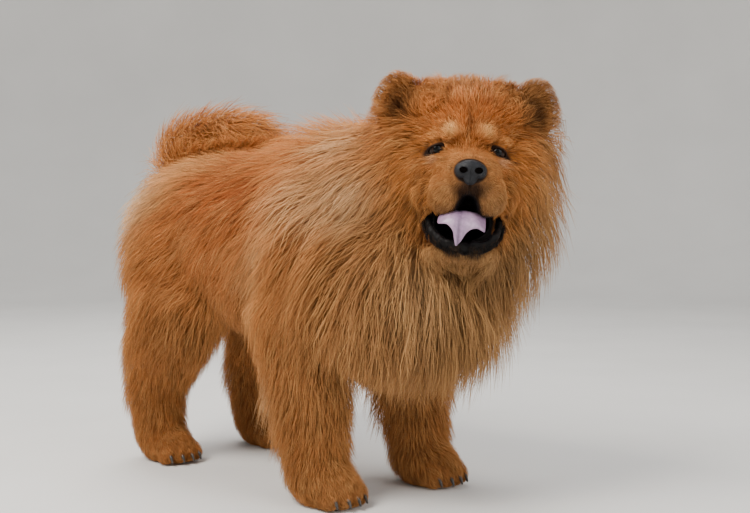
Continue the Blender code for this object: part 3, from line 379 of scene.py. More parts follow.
# The skin takes the coat's colour made darker, partly as undercoat and partly as painted shade where it shows
# between the hairs
SKIN_UNDERCOAT_AND_SHADE, WET_REACH = 0.72, 0.0015
CUP_PAINTED_SHADE, HOLLOW_PAINTED_SHADE, FOLD_PAINTED_SHADE = 0.45, 0.75, 0.55  # painted shade: how much darker the ears' fronts, their hollows and the face's folds are
LIP_REACH, LID_REACH, NOSE_REACH = 0.009, 0.003, 0.0035
LIP_LUMPS, LIP_LUMP_SIZE = 0.0012, 0.012
SOCKET_REACH = 0.0012  # round the eyeball
BARE_RIM, BARE_LIDS, BARE_NOSE, BARE_SOLE = (0.0008, 0.0022), (0.0014, 0.003), 0.002, 0.003
LIP_FUR_BELOW = -0.0015  # short black fur grows on the lip below this height from its middle
MOUTH_INSIDE = [(0.042, -0.026), (0.036, -0.036), (0.012, -0.056)]  # half width, and how far to the front
MOUTH_FLOOR, MOUTH_ROOF = -0.126, -0.058
MUZZLE_BLACK = (0, -0.06, -0.052, 0.016, 0.03, 0.015)  # between the nose and the upper lip


def mirrored(rows):
    """Rows with those on the other side of the body, where they stand off the middle."""
    return [row for r in rows for row in ([r, (-r[0], *r[1:])] if abs(r[0]) > 1e-6 else [r])]


def flip(rows):
    return [(-r[0], *r[1:]) for r in rows]


def head_frame():
    yaw = Matrix.Rotation(math.radians(HEAD_YAW), 4, "Z")
    roll = Matrix.Rotation(math.radians(HEAD_ROLL), 4, "Y")
    return Matrix.Translation(EYES) @ yaw @ roll


HEAD = head_frame()
HEAD_TURN = np.array(HEAD.to_3x3())
HEAD_ORIGIN = np.array(EYES)


def row_shift():
    """From the dog's frame to the row frame, found from where the left eye was packed."""
    low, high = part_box("eye_left")
    return (low + high) / 2 - HEAD @ Vector((EYE_X, 0, 0))


SHIFT = row_shift()
SHIFT.z = 0.0


# Shapes


def in_scene(name, data):
    obj = bpy.data.objects.new(name, data)
    bpy.context.scene.collection.objects.link(obj)
    return obj


def new_object(name, verts, faces, place=None):
    mesh = bpy.data.meshes.new(name)
    mesh.from_pydata([tuple(v) for v in verts], [], faces)
    if place is not None:
        mesh.transform(place)
    return in_scene(name, mesh)


def smooth_value(values, t):
    """Catmull-Rom through equally spaced values, at t from 0 to 1."""
    span = min(int(t * (len(values) - 1)), len(values) - 2)
    u = t * (len(values) - 1) - span
    p0, p1 = values[max(span - 1, 0)], values[span]
    p2, p3 = values[span + 1], values[min(span + 2, len(values) - 1)]
    square = (2 * p0 - 5 * p1 + 4 * p2 - p3) * u**2
    cube = (3 * p1 - p0 - 3 * p2 + p3) * u**3
    return 0.5 * (2 * p1 + (p2 - p0) * u + square + cube)


def ring_faces(rings, sides):
    """The faces between rings of points, each of which has one point for each side."""
    steps = [(j, (j + 1) % sides) for j in range(sides)]
    starts = [i * sides for i in range(rings - 1)]
    return [(i + j, i + k, i + sides + k, i + sides + j) for i in starts for j, k in steps]


def limb(stations, share=0.0, sides=28, per_span=6, cap=0.55, place=None, side=Vector((1, 0, 0))):
    """A round-ended closed tube through stations (x, y, z, half width, half depth[, coat])."""
    count = (len(stations) - 1) * per_span + 1
    rings = []
    for i in range(count):
        row = [smooth_value([s[k] for s in stations], i / (count - 1)) for k in range(len(stations[0]))]
        coat = (row[5] if len(row) > 5 else 0.0) * share
        rings.append((Vector(row[:3]), row[3] + coat, row[4] + coat))
    start, end = rings[0], rings[-1]
    ahead = (rings[1][0] - start[0]).normalized()
    beyond = (end[0] - rings[-2][0]).normalized()
    for k in (1, 2, 3):
        a = math.radians(90 * k / 3.4)
        back = start[0] - ahead * math.sin(a) * cap * min(start[1:])
        rings.insert(0, (back, start[1] * math.cos(a), start[2] * math.cos(a)))
        on = end[0] + beyond * math.sin(a) * cap * min(end[1:])
        rings.append((on, end[1] * math.cos(a), end[2] * math.cos(a)))
    verts = []
    for i, (at, wide, deep) in enumerate(rings):
        run = rings[min(i + 1, len(rings) - 1)][0] - rings[max(i - 1, 0)][0]
        across = (side - run * side.dot(run) / run.length_squared).normalized()
        up = run.normalized().cross(across)
        for j in range(sides):
            a = 2 * math.pi * j / sides
            verts.append(at + across * wide * math.cos(a) + up * deep * math.sin(a))
    faces = ring_faces(len(rings), sides)
    faces.append(tuple(range(sides))[::-1])
    faces.append(tuple(range(len(verts) - sides, len(verts))))
    obj = new_object("limb", verts, faces, place)
    face_outwards(obj)
    return obj


def face_outwards(obj):
    mesh = bmesh.new()
    mesh.from_mesh(obj.data)
    bmesh.ops.triangulate(mesh, faces=mesh.faces)
    bmesh.ops.recalc_face_normals(mesh, faces=mesh.faces)
    mesh.to_mesh(obj.data)
    mesh.free()


def ball(x, y, z, rx, ry, rz, place=None, segments=28, turn=None):
    mesh = bmesh.new()
    bmesh.ops.create_uvsphere(mesh, u_segments=segments, v_segments=segments * 5 // 8, radius=1.0)
    made = bpy.data.meshes.new("ball")
    mesh.to_mesh(made)
    mesh.free()
    shape = Matrix.Translation((x, y, z)) @ (turn or Matrix()) @ Matrix.Diagonal((rx, ry, rz, 1.0))
    made.transform((place or Matrix()) @ shape)
    return in_scene("ball", made)


def balls(rows, share, place=None):
    return [ball(*r[:3], *[s + r[6] * share for s in r[3:6]], place=place) for r in mirrored(rows)]


def apply_modifiers(obj):
    graph = bpy.context.evaluated_depsgraph_get()
    made = bpy.data.meshes.new_from_object(obj.evaluated_get(graph))
    old = obj.data
    obj.modifiers.clear()
    obj.data = made
    bpy.data.meshes.remove(old)


def remove(objects):
    for obj in objects:
        data = obj.data
        bpy.data.objects.remove(obj)
        if data.users == 0:
            bpy.data.meshes.remove(data)


def joined(name, objects):
    """One object with the faces of all, which may overlap."""
    mesh = bmesh.new()
    for obj in objects:
        mesh.from_mesh(obj.data)
    made = bpy.data.meshes.new(name)
    mesh.to_mesh(made)
    mesh.free()
    remove(objects)
    return in_scene(name, made)


def melted(name, objects, voxel):
    obj = joined(name, objects)
    remesh = obj.modifiers.new("melt", "REMESH")
    remesh.mode, remesh.voxel_size = "VOXEL", voxel
    apply_modifiers(obj)
    return obj


def soften(obj, turns, group=""):
    step = obj.modifiers.new("soften", "SMOOTH")
    step.factor, step.iterations, step.vertex_group = 0.5, turns, group


def boolean(target, operation, cutter):
    step = target.modifiers.new("step", "BOOLEAN")
    step.operation, step.solver, step.object = operation, "MANIFOLD", cutter
    apply_modifiers(target)
    remove([cutter])
    return target


def vertex_values(obj, key):
    values = np.empty(len(obj.data.vertices) * 3)
    obj.data.vertices.foreach_get(key, values)
    return values.reshape(-1, 3)


def points_of(obj):
    return vertex_values(obj, "co")


def normals_of(obj):
    return vertex_values(obj, "normal")


def move_points(obj, co):
    obj.data.vertices.foreach_set("co", co.ravel())
    obj.data.update()


def store_values(obj, name, values):
    layer = obj.data.attributes.new(name, "FLOAT", "POINT")
    layer.data.foreach_set("value", values.astype(np.float32))


def shade_smooth(obj):
    faces = obj.data.polygons
    faces.foreach_set("use_smooth", np.ones(len(faces), bool))
    return obj


def to_head(points):
    return (points - HEAD_ORIGIN) @ HEAD_TURN


def ramp(value, low, high):
    """0 below low to 1 above high, smoothly."""
    t = np.clip((value - low) / (high - low), 0.0, 1.0)
    return t * t * (3 - 2 * t)


def fade(value, low, high):
    """1 below low to 0 above high, smoothly."""
    return ramp(-value, -high, -low)


def ball_share(points, centre, near, far):
    """1 nearer to a centre than near, 0 further than far."""
    return fade(np.linalg.norm(points - centre, axis=1), near, far)


def near_ball(local, x, y, z, rx, ry, rz):
    """How far points are from a ball's surface, roughly in metres, less than 0 inside."""
    scaled = np.linalg.norm((local - (x, y, z)) / (rx, ry, rz), axis=1)
    return (scaled - 1.0) * min(rx, ry, rz)


# Skin


def toe_places(paw):
    """Four toes across the front of each paw, with the two in the middle further out."""
    for x, y, z, *_ in mirrored(paw):
        for k in (-1.5, -0.5, 0.5, 1.5):
            ahead = TOE_REACH - TOES_ROUNDED * (abs(k) - 0.5)
            yield x + k * TOE_SPREAD, y - ahead, z


def toes(paw):
    size = (TOE_SIZE * 0.74, TOE_SIZE * 1.15, TOE_SIZE)
    return [ball(x, y, z - TOE_DROP, *size) for x, y, z in toe_places(paw)]


def ear_place(side):
    out = Matrix.Rotation(math.radians(side * EAR_LEAN_OUT), 4, "Y")
    fore = Matrix.Rotation(math.radians(EAR_LEAN_FORE), 4, "X")
    turn = Matrix.Rotation(math.radians(side * EAR_TURN), 4, "Z")
    return HEAD @ Matrix.Translation((side * EAR_BASE.x, EAR_BASE.y, EAR_BASE.z)) @ out @ fore @ turn


def ear(side):
    """A thick leaf with rounded tip, hollowed at the front."""
    place = ear_place(side)
    leaf = limb([(0, 0, z, w, t) for z, w, t in EAR], per_span=4, cap=0.8, place=place)
    share = EAR_CUP_SHARE
    hollow = [(0, -EAR_CUP_FORE, z * 0.94 + EAR_CUP_RISE, w * share, t * share) for z, w, t in EAR[1:]]
    return boolean(leaf, "DIFFERENCE", limb(hollow, per_span=4, cap=0.8, place=place))


def eye_ball(side, radius, segments=28):
    return ball(side * EYE_X, 0, 0, radius, radius, radius, place=HEAD, segments=segments)


def masses():
    """The flesh under the undercoat, as overlapping limbs and balls."""
    share = SKIN_SHARE
    made = [limb(TORSO, share), limb(NECK, share), limb(TAIL, share)]
    made += balls(CHEST + SHOULDER + THIGH + FORE_PAW + HIND_PAW, share)
    for rows in (FORELEG, HINDLEG):
        made += [limb(rows, share), limb(flip(rows), share)]
    made += toes(FORE_PAW) + toes(HIND_PAW)
    made += [limb(MUZZLE, 1.0, place=HEAD, cap=0.75)]
    made += balls(RUFF, share, HEAD)
    upper_face = SKULL + TEMPLE + JOWL + BROW + CHEEK + EYE_BUMP + LID_FOLD
    made += balls(upper_face + UNDER_EYE + FLEW + LIP_CORNER + CHIN, 1.0, HEAD)
    made += [eye_ball(side, EYE_RADIUS + LID) for side in (1, -1)]
    made += [ear(1), ear(-1)]
    return made


def face_share(points):
    """1 on the face and ears, 0 on the body."""
    local = to_head(points)
    front = fade(local[:, 1], 0.045, 0.075) * ball_share(local, (0, 0, -0.03), 0.115, 0.145)
    middles = [(side * EAR_BASE.x, EAR_BASE.y, EAR_BASE.z + 0.02) for side in (1, -1)]
    return np.maximum(front, np.maximum(*[ball_share(local, at, 0.045, 0.065) for at in middles]))


def lower_lip():
    """The rim of the lower jaw, a little lumpy along its length."""
    obj = limb(LOWER_LIP, sides=24, per_span=10, cap=0.8, place=HEAD, side=Vector((0, 0, 1)))
    co = points_of(obj)
    lumps = soft_noise(to_head(co), LIP_LUMP_SIZE, 3) * LIP_LUMPS
    move_points(obj, co + normals_of(obj) * lumps[:, None])
    return obj


def slit_place(side):
    """The middle of an eye's opening in the head's frame, and its turn: along the lids, outwards, and up."""
    face_out = Matrix.Rotation(math.radians(side * EYE_FACE_OUT), 3, "Z")
    slant = Matrix.Rotation(math.radians(side * EYE_SLANT), 3, "Y")
    middle = Vector((side * EYE_X, 0, 0)) + face_out @ Vector((side * SLIT_AT.x, SLIT_AT.y, SLIT_AT.z))
    return middle, face_out @ slant


def slit(side):
    """The opening between the lids: a lens slanting down to the outer corner."""
    at, turn = slit_place(side)
    return ball(*at, SLIT_WIDTH, SLIT_DEPTH, SLIT_HEIGHT, place=HEAD, segments=32, turn=turn.to_4x4())


def weigh(obj, name, weights):
    group = obj.vertex_groups.new(name=name)
    levels = np.round(weights * 20) / 20
    for level in np.unique(levels):
        if level > 0:
            group.add(np.flatnonzero(levels == level).tolist(), float(level), "REPLACE")


def creases(local):
    """How far the face is drawn in along its folds, in metres."""
    x = np.abs(local[:, 0])
    z = local[:, 2]
    ways = {"out": x, "in": -x, "up": z, "down": -z, "fore": -local[:, 1]}
    drawn_in = np.zeros(len(local))
    for runs, at_x, at_z, slope, depth, width, *ends in FOLDS:
        gap = x - (at_x - slope * (z - at_z)) if runs == "upright" else z - (at_z - slope * (x - at_x))
        fold = depth * np.exp(-((gap / width) ** 2))
        for way, low, high in ends:
            fold = fold * ramp(ways[way], low, high)
        drawn_in += fold
    return drawn_in


def skin():
    """One seamless skin, finer on the face, open at the eyes and mouth."""
    obj = melted("skin", masses(), SKIN_VOXEL)
    face = face_share(points_of(obj))
    weigh(obj, "body", 1 - face)
    soften(obj, BODY_SMOOTHING, "body")
    soften(obj, FACE_SMOOTHING)
    apply_modifiers(obj)
    co = points_of(obj)
    move_points(obj, co - normals_of(obj) * (creases(to_head(co)) * face_share(co))[:, None])
    for row in MOUTH_CUTS:
        boolean(obj, "DIFFERENCE", ball(*row, place=HEAD, segments=40))
    boolean(obj, "UNION", lower_lip())
    for side in (1, -1):
        boolean(obj, "DIFFERENCE", eye_ball(side, EYE_RADIUS + GAP, 40))
        boolean(obj, "DIFFERENCE", slit(side))
    thin = obj.modifiers.new("thin", "DECIMATE")
    faces = sum(len(p.vertices) - 2 for p in obj.data.polygons)
    weigh(obj, "plain", 1 - face_share(points_of(obj)) * 0.999)
    thin.vertex_group, thin.ratio = "plain", SKIN_TRIANGLES / faces
    apply_modifiers(obj)
    co = points_of(obj)
    co[:, 2] = np.maximum(co[:, 2], 0.0)
    move_points(obj, co)
    return shade_smooth(obj)


def unwrapped(obj):
    """A map of the skin's own shape, cut where it turns sharply."""
    bpy.context.view_layer.objects.active = obj
    obj.select_set(True)
    obj.data.uv_layers.new(name="OFBake")
    bpy.ops.object.mode_set(mode="EDIT")
    bpy.ops.mesh.select_all(action="SELECT")
    bpy.ops.uv.smart_project(angle_limit=math.radians(70), island_margin=0.001)
    bpy.ops.object.mode_set(mode="OBJECT")
    obj.select_set(False)


# Lie of the coat


def unit(vectors):
    return vectors / np.maximum(np.linalg.norm(vectors, axis=-1, keepdims=True), 1e-9)


def square_gaps(points, at):
    """Squared distances to a place and, where it is on the left, to the one across from it."""
    for side in (1, -1) if at[0] > 0 else (1,):
        gap = points - (side * at[0], at[1], at[2])
        yield side, (gap * gap).sum(1)


def blended(points, guides, softness):
    """(direction, sizes) at points, from the guides around them."""
    total = np.zeros(len(points))
    lie = np.zeros((len(points), 3))
    sizes = np.zeros((len(points), 3))
    for at, direction, *rest in guides:
        for side, square in square_gaps(points, at):
            weight = 1.0 / (square + softness) ** 2
            way = np.array((side * direction[0], direction[1], direction[2]), float)
            total += weight
            lie += weight[:, None] * way / np.linalg.norm(way)
            sizes += weight[:, None] * np.array(rest)
    return unit(lie), sizes / total[:, None]


def ruff_lie(local):
    """Round the face the hair runs out from the head's axis and backwards, and falls below it."""
    out = unit(np.stack([local[:, 0], np.zeros(len(local)), 0.7 * (local[:, 2] + 0.035)], 1))
    fall = 0.25 + 0.70 * ramp(-local[:, 2], -0.06, 0.04)
    back = np.stack([np.zeros(len(local)), np.full(len(local), 0.42), -fall], 1)
    return unit(out * 0.80 + back) @ HEAD_TURN.T


def mixed(first, second, share):
    share = share[:, None]
    return unit(first[0] * (1 - share) + second[0] * share), first[1] * (1 - share) + second[1] * share


def same(lie, sizes):
    return lie, np.tile(np.array(sizes, float), (len(lie), 1))


def tail_bones():
    stations = np.array([row[:3] for row in TAIL])
    return (stations[1:] + stations[:-1]) / 2, unit(stations[1:] - stations[:-1])


def tail_share(points):
    """1 on the tail, 0 on the body."""
    middles, _ = tail_bones()
    near = np.min([np.linalg.norm(points - m, axis=1) for m in middles], axis=0)
    return fade(near, 0.055, 0.075) * ramp(points[:, 2], 0.45, 0.49)


def tail_lie(points):
    middles, ways = tail_bones()
    gaps = np.array([1 / (((points - m) ** 2).sum(1) + 1e-4) ** 2 for m in middles])
    return unit((gaps[:, :, None] * ways[:, None, :]).sum(0))


def ear_local(points, side):
    place = np.array(ear_place(side).inverted())
    return points @ place[:3, :3].T + place[:3, 3]


def ear_share(points, side):
    x, y, z = ear_local(points, side).T
    return ramp(z, -0.01, 0.008) * fade(np.abs(x), 0.048, 0.06) * (np.abs(y) < 0.035)


def ear_lie(points, side):
    """Up the ear and out over its edges."""
    local = ear_local(points, side)
    way = np.full((len(local), 3), (0, -0.12, 0.9))
    way[:, 0] = local[:, 0] * 16 + side * 0.25
    return unit(way) @ np.array(ear_place(side).to_3x3()).T


def coat_at(points):
    """(direction, (length, stand-off, freedom)) of the coat at points on the skin."""
    local = to_head(points)
    body = blended(points, COAT, BODY_SOFTNESS)
    near = np.linalg.norm(local - (0, 0.05, -0.04), axis=1)
    nape = ramp(local[:, 2], 0.0, 0.07)
    round_face = ruff_lie(local)
    ruff = mixed(same(round_face, RUFF_COAT), same(round_face, NAPE_COAT), nape)
    coat = mixed(body, ruff, fade(near, RUFF_REACH, RUFF_REACH + RUFF_BLEND))
    face_lie, face_sizes = blended(local, FACE_COAT, FACE_SOFTNESS)
    face = (face_lie @ HEAD_TURN.T, face_sizes)
    low = ramp(-local[:, 2], 0.110, 0.165)
    depth = FACE_DEPTH - 0.045 * low + 0.025 * ramp(local[:, 2], 0.03, 0.08)
    coat = mixed(coat, face, ramp(-local[:, 1], -depth - FACE_BLEND, -depth) * (near < 0.16))
    coat = mixed(coat, same(tail_lie(points), TAIL_COAT), tail_share(points))
    for side in (1, -1):
        coat = mixed(coat, same(ear_lie(points, side), EAR_COAT), ear_share(points, side))
    return coat


def bare(points):
    """1 where no hair grows: lids, lips, inside the mouth, pads and under the nose."""
    local = to_head(points)
    gap, above = lip_ring(local)
    shares = [
        fade(cut_distance(local), *BARE_RIM),
        fade(gap, *BARE_RIM) * (above > LIP_FUR_BELOW),
        in_mouth(local),
        fade(lid_distance(local), *BARE_LIDS),
        fade(nose_distance(local), 0.0, BARE_NOSE),
        (points[:, 2] < BARE_SOLE) * 1.0,
    ]
    sockets = [np.linalg.norm(local - (side * EYE_X, 0, 0), axis=1) for side in (1, -1)]
    shares.append((np.minimum(*sockets) < EYE_RADIUS + SOCKET_REACH) * 1.0)
    return np.max(shares, axis=0)


def lip_ring(local):
    """Distance to the lower lip, and height above its middle."""
    rim = np.array([row[:3] for row in LOWER_LIP])
    quarters = [rim[:-1] + (rim[1:] - rim[:-1]) * t for t in (0.0, 0.25, 0.5, 0.75)]
    bent = np.concatenate(quarters + [rim[-1:]])
    gaps = np.stack([np.linalg.norm(local - p, axis=1) for p in bent])
    return gaps.min(0) - LOWER_LIP[0][3], local[:, 2] - bent[gaps.argmin(0), 2]


def in_mouth(local):
    """1 on the walls and the roof of the mouth, behind the lips."""
    x, y, z = local.T
    behind = np.any([(np.abs(x) < half_width) & (y > front) for half_width, front in MOUTH_INSIDE], axis=0)
    return fade(cut_distance(local), 0.028, 0.034) * (behind & (z > MOUTH_FLOOR) & (z < MOUTH_ROOF))


def cut_distance(local):
    """Distance to the mouth's opening, less than 0 inside."""
    return np.min([near_ball(local, *row) for row in MOUTH_CUTS], axis=0)


def lip_distance(local):
    """Distance to the edge of the mouth or to the lower lip, less than 0 inside."""
    return np.minimum(cut_distance(local), lip_ring(local)[0])


def lid_distance(local):
    """Distance to the opening of the nearer eye."""
    found = []
    for side in (1, -1):
        at, turn = slit_place(side)
        turned = (local - np.array(at)) @ np.array(turn)
        across, up = turned[:, 0] / SLIT_WIDTH, turned[:, 2] / SLIT_HEIGHT
        flat = (np.hypot(across, up) - 1.0) * SLIT_HEIGHT
        found.append(np.where(np.abs(turned[:, 1]) < 0.018, flat, 1.0))
    return np.minimum(*found)


def nose_distance(local):
    return near_ball(local, NOSE_AT.x, NOSE_AT.y, NOSE_AT.z - 0.002, *NOSE_BALL)


# Colours


def soft_noise(points, scale, seed):
    """Smooth variation, mostly from -1 to 1, as a sum of waves in drawn directions."""
    rng = np.random.default_rng(seed)
    total = np.zeros(len(points))
    for _ in range(7):
        way = unit(rng.normal(size=(1, 3)))[0] * rng.uniform(0.6, 1.6) / scale
        total += np.sin(points @ way * 2 * math.pi + rng.uniform(0, 2 * math.pi))
    return total / 4.0


def toned(points, tones):
    total = np.full(len(points), 1e-6)
    colour = np.zeros((len(points), 3))
    for at, tone, reach in tones:
        for _, square in square_gaps(points, at):
            weight = np.exp(-square / (2 * reach * reach)) * (0.03 / reach) + 1e-5
            total += weight
            colour += weight[:, None] * np.array(tone)
    return colour / total[:, None]


def laid_over(colour, tone, share):
    share = share[:, None]
    return colour * (1 - share) + np.array(tone) * share


def spotted(colour, points, spots):
    """Lays soft-edged spots of colour over the coat's own: marks of the coat, and painted highlights and
    shadows.
    """
    ragged = 1 + 0.30 * soft_noise(points, 0.030, 7)
    for at, tone, reach, strength in spots:
        for _, square in square_gaps(points, at):
            share = np.clip(strength * ragged * np.exp(-square / (2 * reach * reach)), 0, 1)
            colour = laid_over(colour, tone, share)
    return colour


def markings_and_painted_light(points):
    """Colour of skin and coat at points on the skin, in the dog's frame, with painted shade in the ears' cups
    and the face's folds, and the painted highlights and shadows among the spots.
    """
    local = to_head(points)
    colour = spotted(toned(points, BODY_TONES), points, BODY_SPOTS)
    face = ball_share(local, (0, 0.03, -0.03), 0.085, 0.135)
    colour = laid_over(colour, spotted(toned(local, FACE_TONES), local, FACE_SPOTS), face)
    colour = laid_over(colour, TAIL_TONE, tail_share(points))
    for side in (1, -1):
        cup, share = ear_local(points, side), ear_share(points, side)
        # The ears' fronts darker, most in the hollow near their base: painted shade in the cup
        dark = share * fade(cup[:, 1], -0.004, 0.004) * fade(np.abs(cup[:, 0]), 0.018, 0.03)
        hollow = np.exp(-((cup - EAR_HOLLOW) ** 2).sum(1) / (2 * EAR_HOLLOW_REACH**2)) * share
        colour = colour * (1 - CUP_PAINTED_SHADE * dark[:, None]) * (1 - HOLLOW_PAINTED_SHADE * hollow[:, None])
    patches = sum(soft_noise(points, size, seed) * strength for size, seed, strength in PATCHES)
    colour = colour * (1 + patches[:, None])
    # Darker along the face's folds: painted shade in the creases
    colour = colour * (1 - FOLD_PAINTED_SHADE * np.clip(creases(local) / 0.003, 0, 1) * face)[:, None]
    rim = fade(nose_distance(local), -0.0005, NOSE_REACH) * 0.98
    muzzle = np.maximum(rim, fade(near_ball(local, *MUZZLE_BLACK), -0.006, 0.012) * 0.90)
    lips = np.maximum(fade(lip_distance(local), 0.002, LIP_REACH), in_mouth(local))
    lids = fade(lid_distance(local), LID_REACH * 0.4, LID_REACH * 1.8) * 0.97
    black = np.clip(np.maximum(np.maximum(muzzle, lips), lids), 0, 1)
    return np.clip(laid_over(colour, BLACK, black), 0.0, 1.0)


def store_tone(obj, colours):
    layer = obj.data.color_attributes.new("tone", "FLOAT_COLOR", "POINT")
    rgba = np.ones((len(colours), 4), np.float32)
    rgba[:, :3] = colours
    layer.data.foreach_set("color", rgba.ravel())


# Hair


def mesh_arrays(obj):
    """(corner places, corner map places) of the skin's triangles."""
    data = obj.data
    data.calc_loop_triangles()
    found = []
    for key in ("vertices", "loops"):
        numbers = np.empty(len(data.loop_triangles) * 3, int)
        data.loop_triangles.foreach_get(key, numbers)
        found.append(numbers.reshape(-1, 3))
    uv = np.empty(len(data.loops) * 2)
    data.uv_layers["OFBake"].data.foreach_get("uv", uv)
    return points_of(obj)[found[0]], uv.reshape(-1, 2)[found[1]]


def width_of(length):
    t = np.clip((length - LENGTH_THIN) / (LENGTH_THICK - LENGTH_THIN), 0, 1)
    return WIDTH_THIN + (WIDTH_THICK - WIDTH_THIN) * t**0.8


def rooted(obj, rng):
    """Roots of the hair over the skin, denser where it is short: places, normals and map places."""
    corners, uv = mesh_arrays(obj)
    a, b, c = corners[:, 0], corners[:, 1], corners[:, 2]
    normal = np.cross(b - a, c - a)
    area = np.linalg.norm(normal, axis=1) / 2
    middle = corners.mean(1)
    length = coat_at(middle)[1][:, 0]
    layers = LAYERS_SHORT + (LAYERS_LONG - LAYERS_SHORT) * np.clip(length / LENGTH_THICK, 0, 1)
    wanted = area * (layers / (length * width_of(length)) * (1 - bare(middle)))
    count = int(wanted.sum())
    chosen = np.searchsorted(np.cumsum(wanted), rng.uniform(0, wanted.sum(), count))
    chosen = np.minimum(chosen, len(wanted) - 1)
    u, v = np.sort(rng.uniform(size=(2, count)), axis=0)[:, :, None]
    shares = np.stack([u, v - u, 1 - v], 1)
    return (corners[chosen] * shares).sum(1), unit(normal[chosen]), (uv[chosen] * shares).sum(1)


def nearest_on(tree, points):
    """Nearest places on the skin and the normals there."""
    feet, near = np.empty_like(points), np.empty_like(points)
    for i, p in enumerate(points):
        foot, normal, _, _ = tree.find_nearest(p)
        feet[i], near[i] = foot, normal
    return feet, near


def paths(tree, roots, normals, lie, sizes):
    """Each hair's way from its root to its tip: it rises to its stand-off, and sags where it hangs free."""
    length, stand_off, freedom = sizes[:, :1], sizes[:, 1:2], sizes[:, 2:3]
    at = roots - normals * ROOT_DEPTH
    way, normal = lie, normals
    made, ups = [at], [normals]
    for i in range(1, PATH_STEPS + 1):
        t = i / PATH_STEPS
        flat = unit(way - normal * (way * normal).sum(1, keepdims=True))
        at = at + unit(flat * (1 - freedom) + way * freedom) * length / PATH_STEPS
        foot, near = nearest_on(tree, at)
        height = stand_off * t**RISE
        above = ((at - foot) * near).sum(1, keepdims=True)
        keep = np.where(above > height, freedom, 0.0)
        at = (foot + near * height) * (1 - keep) + at * keep
        normal = unit(near * FOLLOWS + normal * (1 - FOLLOWS))
        way = unit(way + (0, 0, 1) * (-SAG - SAG_FREE * freedom))
        at[:, 2] = np.maximum(at[:, 2], FLOOR_CLEAR * (1 - t) + 0.001)
        made.append(at)
        ups.append(normal)
    return np.stack(made, 1), np.stack(ups, 1)


def gathered(path, up, roots, sizes, rng):
    """Draws the tips of neighbouring hairs together into locks, which wave where they are long."""
    count = len(roots)
    leaders = rng.permutation(count)[: max(count // HAIR_PER_LOCK, 1)]
    tree = KDTree(len(leaders))
    for k, i in enumerate(leaders):
        tree.insert(roots[i], k)
    tree.balance()
    leader = leaders[[tree.find(p)[1] for p in roots]]
    t = np.linspace(0, 1, path.shape[1])[None, :, None]
    pull = GATHER * rng.uniform(0.35, 1.0, (count, 1, 1)) * t**1.4
    short = np.clip(sizes[:, 0] / 0.030, 0.25, 1.0)[:, None, None]
    path = path + (path[leader] - path) * pull * short
    run = path[:, -1] - path[:, 0]
    across = unit(np.cross(run, up[:, 0]))[:, None, :]
    phase = rng.uniform(0, 2 * math.pi, (count, 1, 1))
    phase = phase[leader] + rng.normal(0, 0.5, (count, 1, 1))
    wave = WAVE * sizes[:, 0][:, None, None] * np.sin(t * WAVE_TURNS * 2 * math.pi + phase) * t**0.8
    return path + across * wave, leader


def held_in(path):
    """Hair that would leave the solids' box is drawn back to just outside it."""
    low = np.array(CAD_BOX[0]) - np.array(SHIFT) - ROOM
    high = np.array(CAD_BOX[1]) - np.array(SHIFT) + ROOM
    low[2] = ABOVE_FLOOR
    return np.clip(path, low, high)


def hair_rings(path, up, width, rings):
    """Three corners on each ring of each hair and its tip, and how far along the hair each ring is."""
    steps = path.shape[1]
    stations = np.linspace(0, steps - 1, rings + 1)
    low = np.minimum(stations.astype(int), steps - 2)
    part = (stations - low)[None, :, None]
    at = path[:, low] * (1 - part) + path[:, low + 1] * part
    rise = unit(up[:, low] * (1 - part) + up[:, low + 1] * part)
    run = np.empty_like(at)
    run[:, 1:-1] = at[:, 2:] - at[:, :-2]
    run[:, 0], run[:, -1] = at[:, 1] - at[:, 0], at[:, -1] - at[:, -2]
    run = unit(run)
    across = unit(np.cross(run, rise))
    over = np.cross(across, run)
    share = stations / (steps - 1)
    thick = (np.sin(np.clip(share * 1.15 + 0.30, 0, 1) * math.pi * 0.5) * (1 - share**2.2))[None, :, None]
    half = width[:, None, None] / 2 * thick
    verts = np.stack([at - across * half, at + over * half * 1.1, at + across * half], 2)[:, :rings]
    return np.concatenate([verts.reshape(len(path), rings * 3, 3), at[:, -1:]], 1), share[:rings]


def hair_faces(rings):
    """Triangles of one hair: its sides, its tip and its root."""
    faces = []
    for i in range(rings - 1):
        for j in range(3):
            a, b = 3 * i + j, 3 * i + (j + 1) % 3
            faces += [(a, a + 3, b + 3), (a, b + 3, b)]
    last = 3 * (rings - 1)
    faces += [(last + j, last + 3, last + (j + 1) % 3) for j in range(3)]
    faces.append((0, 1, 2))
    return np.array(faces)


